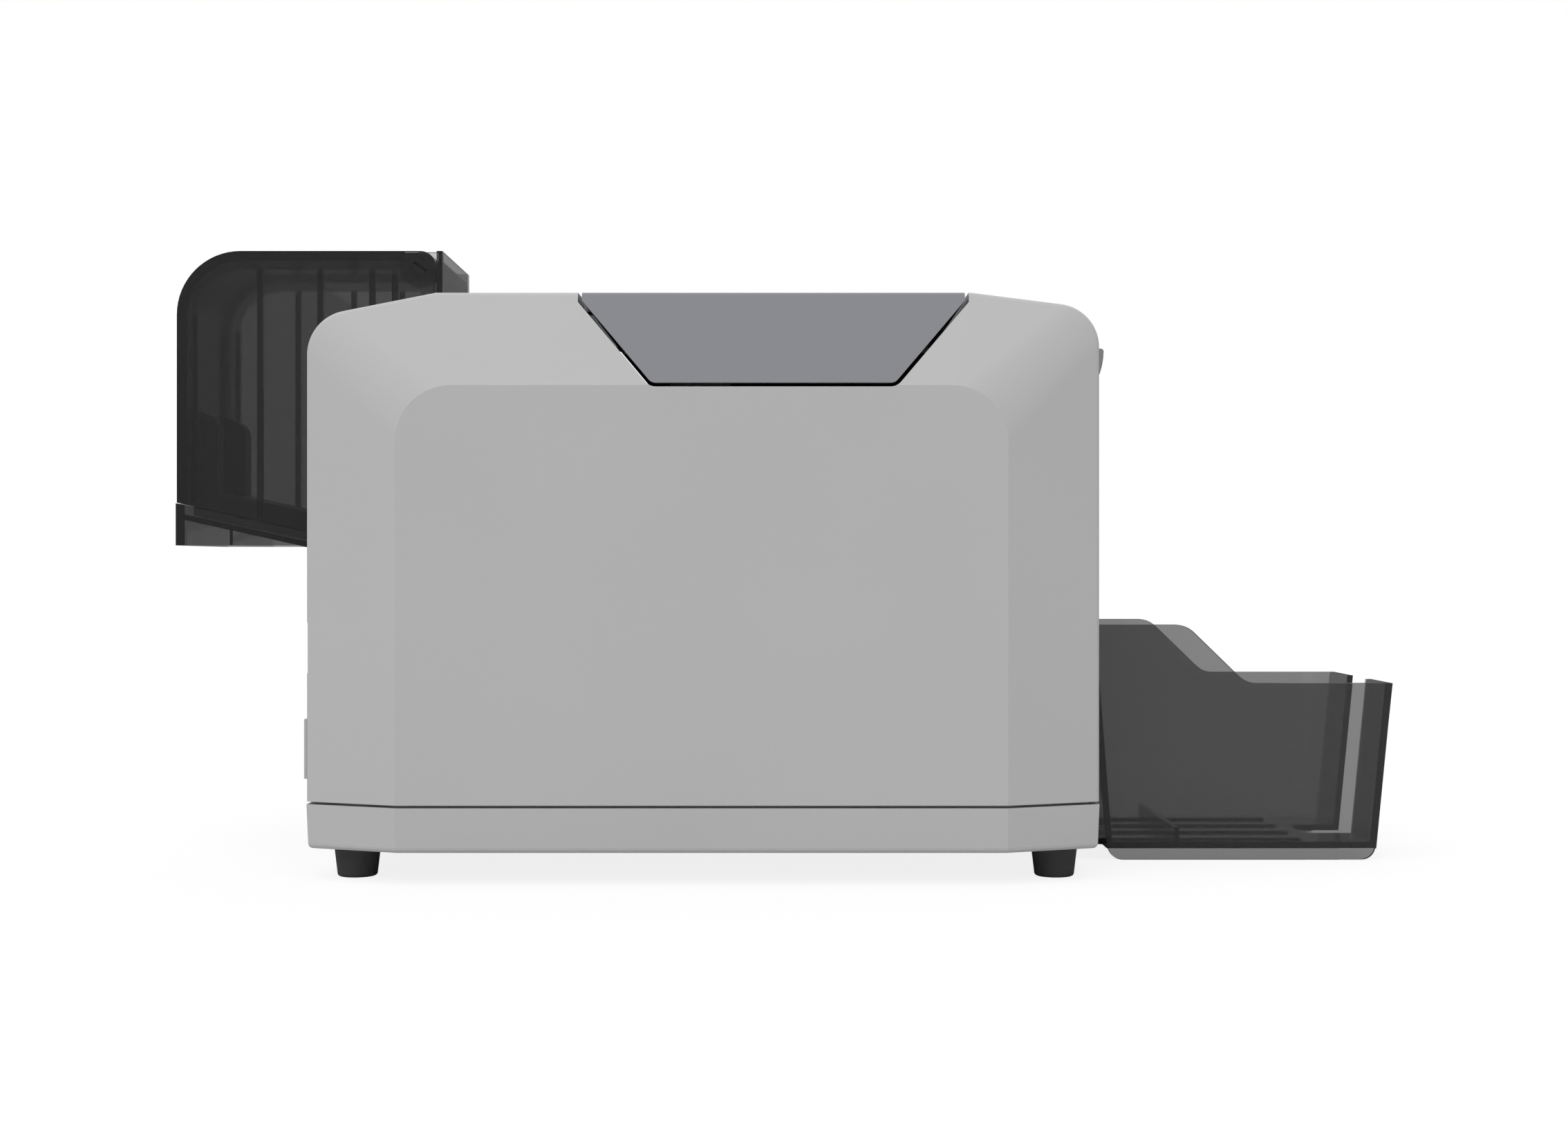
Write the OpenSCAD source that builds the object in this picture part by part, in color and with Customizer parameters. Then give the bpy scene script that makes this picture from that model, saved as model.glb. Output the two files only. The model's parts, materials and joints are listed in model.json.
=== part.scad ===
// Desktop printer for plastic cards, with an input and an output hopper.
// +X runs from the input hopper to the output hopper, Y runs across, +Z is up.
// The origin is at the centre of the bounding box's bottom.

/* [Body] */
// Length of the housing, without the hoppers
body_l = 265.2; // [262:0.1:270]
// Width of the housing
body_w = 200; // [196:0.5:206]
// Height of the housing's flat top above the table
body_top = 196.7; // [195:0.1:198]
// Underside of the base pan above the table
pan_z = 10.7; // [10:0.1:12]
// Height of the seam between base pan and housing
seam_z = 25.6; // [25:0.1:26.5]
// Height of the groove at the seam
seam_gap = 0.9; // [0.6:0.1:1.2]
// Length that each bevel takes off a side panel
bevel_wide = 31.8; // [30:0.1:33]
// Depth of the bevels
bevel_deep = 12.2; // [11.5:0.1:13]
// Height that the top bevel takes off a side panel
bevel_drop = 32.05; // [31:0.05:33]
// Corner radius of the side panels
panel_r = 18.5; // [17:0.5:20]
// Length of the slope at the rear of the top
slope_rear_l = 43.15; // [42:0.05:44]
// Angle of the slope at the rear of the top
slope_rear_a = 11.16; // [10.5:0.01:11.8]
// Length of the slope at the front of the top
slope_front_l = 42.9; // [42:0.1:44]
// Angle of the slope at the front of the top
slope_front_a = 7.2; // [6.6:0.1:7.8]
// Radius of the rear top corner
corner_rear_r = 15; // [14:0.1:16]
// Radius of the front top corner
corner_front_r = 14.5; // [13.5:0.1:15.5]
// Radius of the rounded edge between the top and the bevels
edge_r = 1.5; // [1.2:0.1:1.8]
// Wall thickness of the housing
wall = 3; // [2.6:0.1:3.2]

/* [Lid] */
// Distance from the housing's rear face to the lid's centre
lid_mid = 156.15; // [155.5:0.05:157]
// Length of the lid along the top
lid_l = 128; // [126:0.5:129]
// Length of the lid along the lower edge of its side flaps
lid_low_l = 80.2; // [78:0.1:82]
// Height of the upright part of the lid's ends
lid_upright = 2.8; // [2.6:0.1:3.2]
// Height of the side flaps
lid_drop = 31.2; // [30.5:0.1:31.5]
// Corner radius of the side flaps
lid_r = 3; // [2.5:0.1:3.5]
// Width of the groove round the lid
lid_gap = 1.3; // [1.1:0.1:1.5]
// Wall thickness of the lid
lid_wall = 3; // [2.6:0.1:3.2]
// Distance of the hinge axis from the lid's top and rear end
hinge_in = 2; // [1.9:0.05:2.1]
// Radius of the hinge pins
hinge_pin_r = 1; // [0.8:0.05:1.1]
// Distance between the two hinge knuckles
hinge_span = 124; // [116:1:130]
// Width of one hinge knuckle
knuckle_w = 10; // [8:0.5:12]

/* [Input hopper] */
// Length of the hopper outside the housing
in_reach = 60.15; // [59:0.05:61]
// Outer width of the hopper
hop_w = 64; // [63.6:0.1:64.6]
// Wall thickness of the hopper
hop_wall = 2.4; // [2.2:0.1:2.6]
// Overall height of the printer, to the top of the hopper
hop_top = 219; // [217:0.5:221]
// Underside of the hopper outside the housing
hop_low = 112.6; // [111.5:0.1:113.5]
// Height of the joint between cover and base at the rear end
hop_joint = 128; // [127.5:0.1:128.5]
// Slope of the hopper's floor
hop_slope = 12.46; // [12:0.02:12.8]
// Height of the floor at the rear end
floor_z = 123.8; // [123.4:0.1:124.2]
// Radius of the cover's top corner
cover_r = 23; // [21:0.5:25]
// Thickness of the cover's rear end wall
cover_end = 3.2; // [2.8:0.1:3.4]
// Width of the rim round the cover's side walls
cover_rim = 6.6; // [6:0.1:7]
// Distance from the housing's rear face to the upright plate
hop_plate_in = 34.15; // [33.6:0.05:34.6]
// Thickness of the upright plate
hop_plate_t = 2.1; // [1.9:0.1:2.3]
// Radius of the cover's pivot pins
pivot_r = 2.8; // [2.4:0.1:3]
// Width of the card weight
weight_w = 49.2; // [47:0.1:51]
// Length of the card weight
weight_l = 47; // [44:0.5:50]

/* [Output hopper] */
// Length of the hopper in front of the housing
out_reach = 112.25; // [110:0.05:114]
// Outer width of the hopper
bin_w = 79.4; // [78:0.1:81]
// Wall thickness of the hopper
bin_wall = 2.2; // [2:0.1:2.4]
// Height of the hopper's high part
bin_high = 84.2; // [83:0.1:85]
// Height of the hopper's low part
bin_low = 63.3; // [62:0.1:65]
// Length of the high part
bin_high_l = 38.4; // [37:0.1:40]
// Distance from the housing to the start of the low part
bin_low_at = 59.9; // [58:0.1:62]
// Radius of the bends between the high and the low part
bin_bend_r = 9.4; // [8:0.1:10]
// Height of the skirt's lower edge above the table
bin_z = 0.2; // [0.2:0.1:0.8]
// Width of the finger gap
bin_gap_w = 24; // [22:0.5:27]
// Length of the finger gap in the floor
bin_gap_l = 19; // [17:0.5:22]

/* [Card path] */
// Height of the card path at the front face
path_z = 80; // [79.5:0.1:80.5]
// Slope of the card path
path_a = 5; // [4.9:0.05:5.1]
// Distance between two driven rollers, with an idler gear between them
roller_pitch = 56; // [56:2:56]
// Distance of the exit roller from the front face
exit_in = 18; // [17.5:0.1:18.5]
// Radius of the driven rollers
roller_r = 8; // [7.8:0.1:8.2]
// Radius of the roller shafts
shaft_r = 3; // [2.8:0.1:3.2]
// Module of the gears
gear_m = 1; // [1:1:1]
// Teeth on each roller gear
roller_teeth = 24; // [24:1:24]
// Teeth on the motor pinion
pinion_teeth = 16; // [14:2:18]
// Width of the gears
gear_w = 6; // [5:0.5:7]
// Distance between the side plates
plate_gap = 80; // [79:0.5:82]
// Thickness of the side plates
plate_t = 2; // [1.6:0.1:2.2]

/* [Hidden] */
$fn = 64;
over = 1;                  // overrun of a cut past the face it opens
run = 0.05;                // radial clearance of a shaft in its bore
fit = 0.3;                 // gap between pieces that move past each other
joint_gap = 0.15;          // gap of the joint between the hopper's cover and base

// Derived places
total_l = in_reach + body_l + out_reach;
in_x0 = -total_l / 2;
x0 = in_x0 + in_reach;
x1 = x0 + body_l;
half_w = body_w / 2;
edge_y = half_w - bevel_deep;
bevel_a = atan(bevel_deep / bevel_wide);
shell_z = seam_z + seam_gap;
arc_steps = 16;

// Points along an arc from angle a to angle b
function arc(c, r, a, b, n = arc_steps) =
    [for (i = [0:n]) c + r * [cos(a + (b - a) * i / n), sin(a + (b - a) * i / n)]];

// Side view of the body between its bevels, drawn in by t, from height z up
function body_outline(t, z) = let (
    rear_r = corner_rear_r - t,
    front_r = corner_front_r - t,
    rear_z = body_top - slope_rear_l * tan(slope_rear_a) + corner_rear_r * tan(slope_rear_a)
        - corner_rear_r / cos(slope_rear_a),
    front_z = body_top - slope_front_l * tan(slope_front_a)
        + corner_front_r * tan(slope_front_a) - corner_front_r / cos(slope_front_a))
    concat([[x0 + t, z], [x1 - t, z]],
        arc([x1 - corner_front_r, front_z], front_r, 0, 90 - slope_front_a),
        [[x1 - slope_front_l - t * tan(slope_front_a / 2), body_top - t],
         [x0 + slope_rear_l + t * tan(slope_rear_a / 2), body_top - t]],
        arc([x0 + corner_rear_r, rear_z], rear_r, 90 + slope_rear_a, 180));

// Side view of the flat side panel, for a body drawn in by t, from height z up
function panel_outline(t, z) = let (
    in = t * (1 / cos(bevel_a) - 1) / tan(bevel_a),
    r = panel_r - in,
    top = body_top - bevel_drop - in)
    concat([[x0 + bevel_wide + in, z], [x1 - bevel_wide - in, z]],
        arc([x1 - bevel_wide - in - r, top - r], r, 0, 90),
        arc([x0 + bevel_wide + in + r, top - r], r, 90, 180));

// Half width of the body's middle part, drawn in by t
function middle_y(t) = edge_y - t * (1 / cos(bevel_a) - tan(bevel_a));

// Extrudes a side view across the body, centred
module across(w) {
    rotate([90, 0, 0]) linear_extrude(w, center = true) children();
}

// The outer form of the body, drawn in by t, from height z up. The edges between the
// top and the bevels are rounded by slabs that follow the arc of the rounding.
module body_form(t, z) {
    steps = t > 0 ? 0 : 3;
    r = t > 0 ? 0 : edge_r;
    hull() {
        for (i = [0:steps]) let (a = steps > 0 ? (90 - bevel_a) * i / steps : 0)
            across(2 * (middle_y(t + r) + r * sin(a))) polygon(body_outline(t + r * (1 - cos(a)), z));
        across(2 * (half_w - t)) polygon(panel_outline(t, z));
    }
}

// A box from its lowest to its highest corner
module block(a, b) {
    translate(a) cube(b - a);
}

// A rod along Y from y = a to y = b, at [x, z]
module rod(at, r, a, b) {
    translate([at.x, a, at.y]) rotate([-90, 0, 0]) cylinder(r = r, h = b - a);
}

// Lid geometry
lid_x = x0 + lid_mid;
lid_low_z = body_top - lid_drop;
lid_knee_z = body_top - lid_upright;
lid_slant = atan2(lid_knee_z - lid_low_z, (lid_l - lid_low_l) / 2);
hinge_at = [lid_x - lid_l / 2 + hinge_in, body_top - hinge_in];
knuckle_gap = 0.3;         // side clearance of a hinge knuckle
notch_gap = 0.5;           // clearance in front of a hinge knuckle
barrel_w = 10;             // width of the lid's barrel on each side of a knuckle
lid_rib_shares = [-0.42, 0.05, 0.32];

// Right half of the lid's side view, widened by g, from its lower corner up
function lid_half(g) = let (
    cz = lid_low_z + lid_r,
    cx = lid_l / 2 + ((cz - lid_knee_z) * cos(lid_slant) - lid_r) / sin(lid_slant))
    concat(arc([cx, cz], lid_r + g, -90, lid_slant - 90, arc_steps / 4),
        [[lid_l / 2 + g, lid_knee_z - g * (1 - sin(lid_slant)) / cos(lid_slant)],
         [lid_l / 2 + g, body_top + over]]);

// The lid's side view, widened by g
module lid_view(g) {
    half = lid_half(g);
    n = len(half) - 1;
    translate([lid_x, 0])
        polygon(concat(half, [for (i = [n:-1:0]) [-half[i].x, half[i].y]]));
}

// Card path: a point s before the front face along the path and h above it
function on_path(s, h) =
    [x1 - s * cos(path_a) + h * sin(path_a), path_z + s * sin(path_a) + h * cos(path_a)];

// Hopper geometry
plate_x = x0 + hop_plate_in;
plate_x1 = plate_x + hop_plate_t;
hop_y = hop_w / 2;
hop_in_y = hop_y - hop_wall;
hop_step = 0.4;            // the cover's end stands in from the base's by this
cover_x0 = in_x0 + hop_step;
base_end = 2.8;            // thickness of the base's rear end wall
floor_t = 2;               // thickness of the floor
base_foot_z = 99.5;        // underside of the hopper base inside the bay
pivot_at = [plate_x - 5.9, hop_top - 5.7];
pivot_boss_r = 5.6;
ear_t = 2.1;               // thickness of the base's ears that hold the pivot pins
function floor_at(x) = floor_z - (x - in_x0 - base_end) * tan(hop_slope);
function joint_at(x) = hop_joint - (x - in_x0) * tan(hop_slope);

// Bay for the input hopper in the housing
bay_clear = 1;             // gap between hopper and bay
bay_y = hop_y + bay_clear;
bay_x1 = plate_x1 + bay_clear;
bay_wall = 2.5;            // thickness of the bay's walls
bay_z = base_foot_z - 0.4;

// Rollers and gears
function roller_s(i) = exit_in + i * roller_pitch;
function roller_at(i) = on_path(roller_s(i), -roller_r);
idler_teeth = roller_pitch / gear_m - roller_teeth;
function idler_at(i) = on_path(roller_s(i) + roller_pitch / 2, -roller_r);
pinion_d = (idler_teeth + pinion_teeth) * gear_m / 2;
pinion_s = roller_s(1) + roller_pitch / 2;
pinion_at = on_path(pinion_s, -roller_r - pinion_d);
plate_y = plate_gap / 2;
plate_out = plate_y + plate_t;
gear_gap = 3;              // from the side plate to the gears
gear_y = plate_out + gear_gap;
sleeve_y = 27;             // half length of a roller's rubber sleeve
card_t = 0.76;             // thickness of a card
pinch_r = 6;               // radius of the free rollers above the path
pick_gap = 0.3;            // the pick roller's top lies under the floor by this
pick_r = ((floor_at(roller_at(4).x) - roller_at(4).y) * cos(hop_slope)) - pick_gap;
pick_half = 15;            // half length of the pick roller's sleeve
function pinch_at(i) = on_path(roller_s(i), card_t + pinch_r);

// Base pan
module base_pan() {
    draft = 0.5;
    bottom_r = 1.8;
    lip_h = 4;
    lip_t = 1.6;
    color([0.68, 0.68, 0.68]) {
        difference() {
            union() {
                pan_form(0, pan_z, seam_z, draft, bottom_r);
                pan_prism(wall + fit, pan_z + pan_floor, seam_z + lip_h);
            }
            pan_prism(wall + fit + lip_t, pan_z + pan_floor, seam_z + lip_h + over);
            for (i = [0:3]) rod_z(foot_xy(i), screw_r, pan_z - over, pan_z + pan_floor + over);
            for (i = [0:3]) rod_z(screw_xy(i), screw_r, pan_z - over, pan_z + pan_floor + over);
            for (i = [-4:4]) pan_slot(i);
        }
        for (i = [0:3]) board_post(i);
    }
}

// Plan view of the body's foot, drawn in by t
function pan_plan(t) = let (m = middle_y(t), h = half_w - t, a = x0 + t, b = x1 - t,
    in = bevel_wide + t * (1 / cos(bevel_a) - 1) / tan(bevel_a) )
    [[a, -m], [x0 + in, -h], [x1 - in, -h], [b, -m], [b, m], [x1 - in, h], [x0 + in, h], [a, m]];

// An upright prism on the plan view
module pan_prism(t, z_a, z_b) {
    translate([0, 0, z_a]) linear_extrude(z_b - z_a) polygon(pan_plan(t));
}

// The pan's outer form: straight sides with draft and a rounded lower edge
module pan_form(t, z_a, z_b, draft, r) {
    step_z = 0.01;
    steps = 4;
    hull() {
        translate([0, 0, z_b - step_z]) linear_extrude(step_z) polygon(pan_plan(t));
        for (i = [0:steps])
            translate([0, 0, z_a + r * (1 - cos(90 * i / steps))])
                linear_extrude(step_z) polygon(pan_plan(t + draft + r * (1 - sin(90 * i / steps))));
    }
}

// A rod along Z
module rod_z(at, r, a, b) {
    translate([at.x, at.y, a]) cylinder(r = r, h = b - a);
}

// Cooling slots through the pan's floor
module pan_slot(i) {
    pitch = 8;
    w = 3;
    l = 50;
    at = x0 + body_l * 0.55;
    block([at + i * pitch - w / 2, -l / 2, pan_z - over], [at + i * pitch + w / 2, l / 2, seam_z]);
}

// Feet
foot_in_rear = 14.55;
foot_in_front = 13.55;
foot_in_y = 25;
foot_top_r = 7.9;
foot_low_r = 6.75;
foot_round = 1;
screw_r = 1.6;
function foot_xy(i) = [i < 2 ? x0 + foot_in_rear : x1 - foot_in_front,
    (i % 2 == 0 ? -1 : 1) * (half_w - foot_in_y)];
module foot(i) {
    recess = 2;
    color([0.19, 0.19, 0.19]) translate([foot_xy(i).x, foot_xy(i).y, 0])
        rotate_extrude() polygon(concat(
            [[foot_low_r / 3, recess], [foot_low_r / 3, 0]],
            arc([foot_low_r - foot_round, foot_round], foot_round, -90, 0, 6),
            [[foot_top_r, pan_z], [0, pan_z], [0, recess]]));
}

// Screws through the base pan
screw_in = [45, 20];
screw_head_r = 3;
screw_head_t = 1.4;
screw_l = 12;              // length of the screws in their bosses
function screw_xy(i) = [i < 2 ? x0 + screw_in.x : x1 - screw_in.x,
    (i % 2 == 0 ? -1 : 1) * (half_w - screw_in.y)];
module base_screws() {
    color([0.6, 0.6, 0.62]) for (i = [0:3]) difference() {
        union() {
            rod_z(screw_xy(i), screw_head_r, pan_z - screw_head_t, pan_z);
            rod_z(screw_xy(i), screw_r, pan_z - screw_head_t, pan_z + screw_l);
        }
        translate([screw_xy(i).x, screw_xy(i).y, pan_z - screw_head_t])
            for (a = [0, 90]) rotate([0, 0, a])
                cube([screw_head_r * 1.2, screw_head_t / 3, screw_head_t], center = true);
    }
}

// Posts that carry the main board
board_z = seam_z + 3;      // underside of the main board, just above the pan's lip
board_t = 1.6;
board_in = 4.5;            // gap between the rear wall and the board
board_l = 112.5;
board_x = [x0 + wall + board_in, x0 + wall + board_in + board_l];
board_y = 0.34 * half_w;   // half width of the board
post_in = 5;
post_r = 3;
function post_xy(i) = [i < 2 ? board_x[0] + 3 * post_in : board_x[1] - post_in,
    (i % 2 == 0 ? -1 : 1) * (board_y - post_in)];
module board_post(i) {
    rod_z(post_xy(i), post_r, pan_z, board_z);
}

// Housing
exit_half = 30;            // half width of the exit slot
exit_h = 7;                // height of the exit slot
lever_half = 35;           // half width of the release lever
lever_in = 6;              // distance of the lever's pivot from the front face
lever_down = 31;           // distance of the lever's pivot below the top
lever_at = [x1 - lever_in, body_top - lever_down];
lever_top_down = 13.3;     // distance of the lever's upper face below the top
lever_top = body_top - lever_top_down;
lever_proud = 9.55;        // the lever stands proud of the front face by this
lever_tip = x1 + lever_proud;
panel_half = 0.45 * half_w; // half width of the control panel
panel_h = 54;              // height of the control panel
panel_up = 24;             // distance of the control panel above the card path
panel_z = [path_z + panel_up, path_z + panel_up + panel_h];
panel_t = 1.2;
button_r = 5;
button_up = 13;            // distance of the buttons above the panel's lower edge
button_z = panel_z[0] + button_up;
button_y = 26;
display_h = 20;
display_down = 10;         // distance of the display below the panel's upper edge
display_z = [panel_z[1] - display_down - display_h, panel_z[1] - display_down];
display_half = 24;
light_r = 1.5;
light_pitch = 8;
fan_size = 40;
fan_t = 10;
side_gap = 2.8;            // gap between the side wall's inner face and the fan
fan_y = edge_y - wall - side_gap - fan_size / 2;
fan_z = pan_z + 31.3 + fan_size / 2;
port_z = board_z + board_t;
usb_at = [8, 14];          // y of the centre, width
net_at = [-14, 17];
switch_w = 14;
inlet_w = 20;
socket_gap = 6;            // gap between the openings of switch and inlet
switch_in = 2.8;           // gap between the bevel's edge and the switch opening
switch_at = [-(edge_y - switch_in - switch_w / 2), switch_w];
inlet_at = [switch_at[0] + switch_w / 2 + socket_gap + inlet_w / 2, inlet_w];
socket_h = 16;
socket_up = 10.4;          // distance of the socket openings above the seam
socket_z = [seam_z + socket_up, seam_z + socket_up + socket_h];

module housing() {
    color([0.68, 0.68, 0.68]) {
        difference() {
            union() {
                difference() {
                    body_form(0, shell_z);
                    body_form(wall, shell_z - over);
                }
                intersection() {
                    body_form(0, shell_z);
                    block([x0, -bay_y - bay_wall, bay_z - bay_wall],
                        [bay_x1 + bay_wall, bay_y + bay_wall, body_top]);
                }
            }
            bay_cut();
            across(body_w + 2 * over) lid_view(lid_gap);
            block([x1 - wall - over, -exit_half, path_z - exit_h / 2 + card_t],
                [x1 + over, exit_half, path_z + exit_h / 2 + card_t]);
            lever_window();
            for (side = [-1, 1], z = hook_z)
                translate([0, side * (bin_y - bin_wall / 2), 0])
                    block([x1 - wall - over, -bin_wall / 2 - fit, z - fit],
                        [x1 + over, bin_wall / 2 + fit, z + hook_h + fit]);
            panel_recess();
            rear_cuts();
            grip_step();
        }
        for (side = [-1, 1]) lever_lug(side);
        for (i = [0:3]) screw_boss(i);
        difference() {
            for (side = [-1, 1]) knuckle(side);
            for (side = [-1, 1])
                rod(hinge_at, hinge_pin_r, side * hinge_span / 2 - knuckle_w,
                    side * hinge_span / 2 + knuckle_w);
        }
    }
}

// The space of the bay: open at the rear and on top, with the card and roller windows
module bay_cut() {
    window_y = pick_half + 4;
    block([x0 - over, -bay_y, bay_z], [bay_x1, bay_y, body_top + over]);
    block([roller_at(4).x - pick_r - 2 * over, -window_y, bay_z - bay_wall - over],
        [bay_x1, window_y, bay_z + over]);
    block([bay_x1 - over, -exit_half, on_path(x1 - bay_x1, -2).y],
        [bay_x1 + bay_wall + over, exit_half, on_path(x1 - bay_x1, 5).y]);
}

// One knuckle of the lid's hinge, with its web to the housing's edge
module knuckle(side) {
    y = side * hinge_span / 2;
    edge_x = lid_x - lid_l / 2 - lid_gap;
    rod(hinge_at, hinge_in, y - knuckle_w / 2, y + knuckle_w / 2);
    block([edge_x - wall, y - knuckle_w / 2, body_top - 2 * hinge_in],
        [hinge_at.x, y + knuckle_w / 2, body_top]);
}

// A lug behind the front wall with the pin that the release lever turns on
module lever_lug(side) {
    lug_t = 4;
    lug_half = 5;
    gap = 0.5;
    y = side * (lever_half + gap);
    block([lever_at.x - lug_half, min(y, y + side * lug_t), lever_at.y - lug_half],
        [x1 - wall / 2, max(y, y + side * lug_t), lever_at.y + lug_half]);
    rod(lever_at, lever_pivot_r, min(y - side * 6, y + side), max(y - side * 6, y + side));
}

// A boss for a base screw, with its web to the side wall
module screw_boss(i) {
    boss_r = 4;
    boss_top = 55;
    web_t = 2;
    low = pan_z + pan_floor + fit;
    at = screw_xy(i);
    side = sign(at.y);
    difference() {
        union() {
            rod_z(at, boss_r, low, boss_top);
            block([at.x - web_t / 2, min(at.y, side * (half_w - wall / 2)), seam_z + 5],
                [at.x + web_t / 2, max(at.y, side * (half_w - wall / 2)), boss_top]);
        }
        rod_z(at, screw_r, low - over, boss_top / 2);
    }
}

// Window of the release lever in the front face
module lever_window() {
    clear = 0.8;
    up = 5;
    down = 8;
    block([x1 - 3 * wall, -lever_half - clear, lever_at.y - down],
        [x1 + over, lever_half + clear, lever_top + up]);
}

// Shallow recess of the control panel, with the holes behind it
module panel_recess() {
    block([x1 - panel_t, -panel_half, panel_z[0]], [x1 + over, panel_half, panel_z[1]]);
    for (side = [-1, 1])
        translate([x1 - wall - over, side * button_y, button_z])
            rotate([0, 90, 0]) cylinder(r = button_r + fit, h = wall + 2 * over);
    block([x1 - wall - over, -display_half + wall, display_z[0] + wall],
        [x1, display_half - wall, display_z[1] - wall]);
}

// Openings of the rear face: sockets, switch and fan grille
module rear_cuts() {
    slot_w = 2.4;
    slot_pitch = 5;
    port_open = 13;
    for (p = [usb_at, net_at])
        block([x0 - over, p[0] - p[1] / 2, port_z - fit],
            [x0 + wall + over, p[0] + p[1] / 2, port_z + port_open]);
    for (p = [inlet_at, switch_at])
        block([x0 - over, p[0] - p[1] / 2, socket_z[0]],
            [x0 + wall + over, p[0] + p[1] / 2, socket_z[1]]);
    for (i = [-3:3]) {
        half = sqrt(pow(fan_size / 2 - 2, 2) - pow(i * slot_pitch, 2));
        block([x0 - over, fan_y + i * slot_pitch - slot_w / 2, fan_z - half],
            [x0 + wall + over, fan_y + i * slot_pitch + slot_w / 2, fan_z + half]);
    }
}

// Shallow step across the rear face
module grip_step() {
    deep = 0.4;
    low = 43.8;
    high = 60.7;
    block([x0 - over, -half_w, seam_z + low], [x0 + deep, half_w, seam_z + high]);
}

// Lid
module lid() {
    rib_h = 5;
    rib_t = 2;
    rib_in = 6;
    strike_half = 8;
    strike_h = 12;
    strike_in = 4;
    color([0.55, 0.55, 0.57]) difference() {
        union() {
            difference() {
                intersection() {
                    body_form(0, lid_low_z - over);
                    across(body_w + 2 * over) lid_view(0);
                }
                body_form(lid_wall, lid_low_z - 2 * over);
            }
            for (side = [-1, 1]) {
                y = side * hinge_span / 2;
                w = knuckle_w / 2 + knuckle_gap + barrel_w;
                rod(hinge_at, hinge_in, y - w, y + w);
            }
            for (share = lid_rib_shares) let (x = lid_x + share * lid_l)
                block([x - rib_t / 2, -edge_y + rib_in, body_top - lid_wall - rib_h],
                    [x + rib_t / 2, edge_y - rib_in, body_top - lid_wall + over / 2]);
            block([lid_x + lid_l / 2 - strike_in, -strike_half, body_top - strike_h],
                [lid_x + lid_l / 2 - strike_in / 2, strike_half, body_top - lid_wall + over / 2]);
        }
        for (side = [-1, 1]) {
            y = side * hinge_span / 2;
            w = knuckle_w / 2 + knuckle_gap;
            block([hinge_at.x - hinge_in - over, y - w, body_top - 3 * hinge_in],
                [hinge_at.x + hinge_in + notch_gap, y + w, body_top + over]);
            rod(hinge_at, hinge_pin_r + run, y - w - barrel_w - over, y + w + barrel_w + over);
        }
    }
}

module lid_hinge_pins() {
    color([0.7, 0.7, 0.72]) for (side = [-1, 1])
        rod(hinge_at, hinge_pin_r, side * hinge_span / 2 - knuckle_w / 2 - barrel_w,
            side * hinge_span / 2 + knuckle_w / 2 + barrel_w);
}

// Release lever
lever_pivot_r = 2;
lever_curve_r = 23.5;
module release_lever() {
    arm_w = 14;
    arm_t = 4;
    hub_r = 4;
    nose_in = 2;               // the nose reaches under the lid's strike by this
    nose_x = lid_x + lid_l / 2 + fit;
    nose_z = body_top - 12;
    color([0.57, 0.57, 0.57]) difference() {
        union() {
            across(2 * lever_half) lever_view();
            across(arm_w) polygon([[lever_at.x - hub_r, lever_at.y], [lever_at.x, lever_at.y + hub_r + 2],
                [nose_x + arm_t, nose_z], [nose_x - nose_in, nose_z],
                [nose_x - nose_in, nose_z - arm_t + 1], [nose_x + arm_t, nose_z - arm_t]]);
            rod(lever_at, hub_r, -lever_half, lever_half);
        }
        rod(lever_at, lever_pivot_r + run, -lever_half - over, lever_half + over);
    }
}

// Side view of the lever's paddle: flat top, small corner, curved underside
module lever_view() {
    corner = 1;
    curve_c = [lever_tip - lever_curve_r, lever_top - corner];
    inner = x1 - 2 * wall;
    low_a = -62;               // angle at which the curved underside ends
    low_z = curve_c.y + lever_curve_r * sin(low_a);
    polygon(concat([[inner, low_z], [inner, lever_top]],
        arc([lever_tip - corner, lever_top - corner], corner, 90, 0, 4),
        arc(curve_c, lever_curve_r, 0, low_a, 10)));
}

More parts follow.
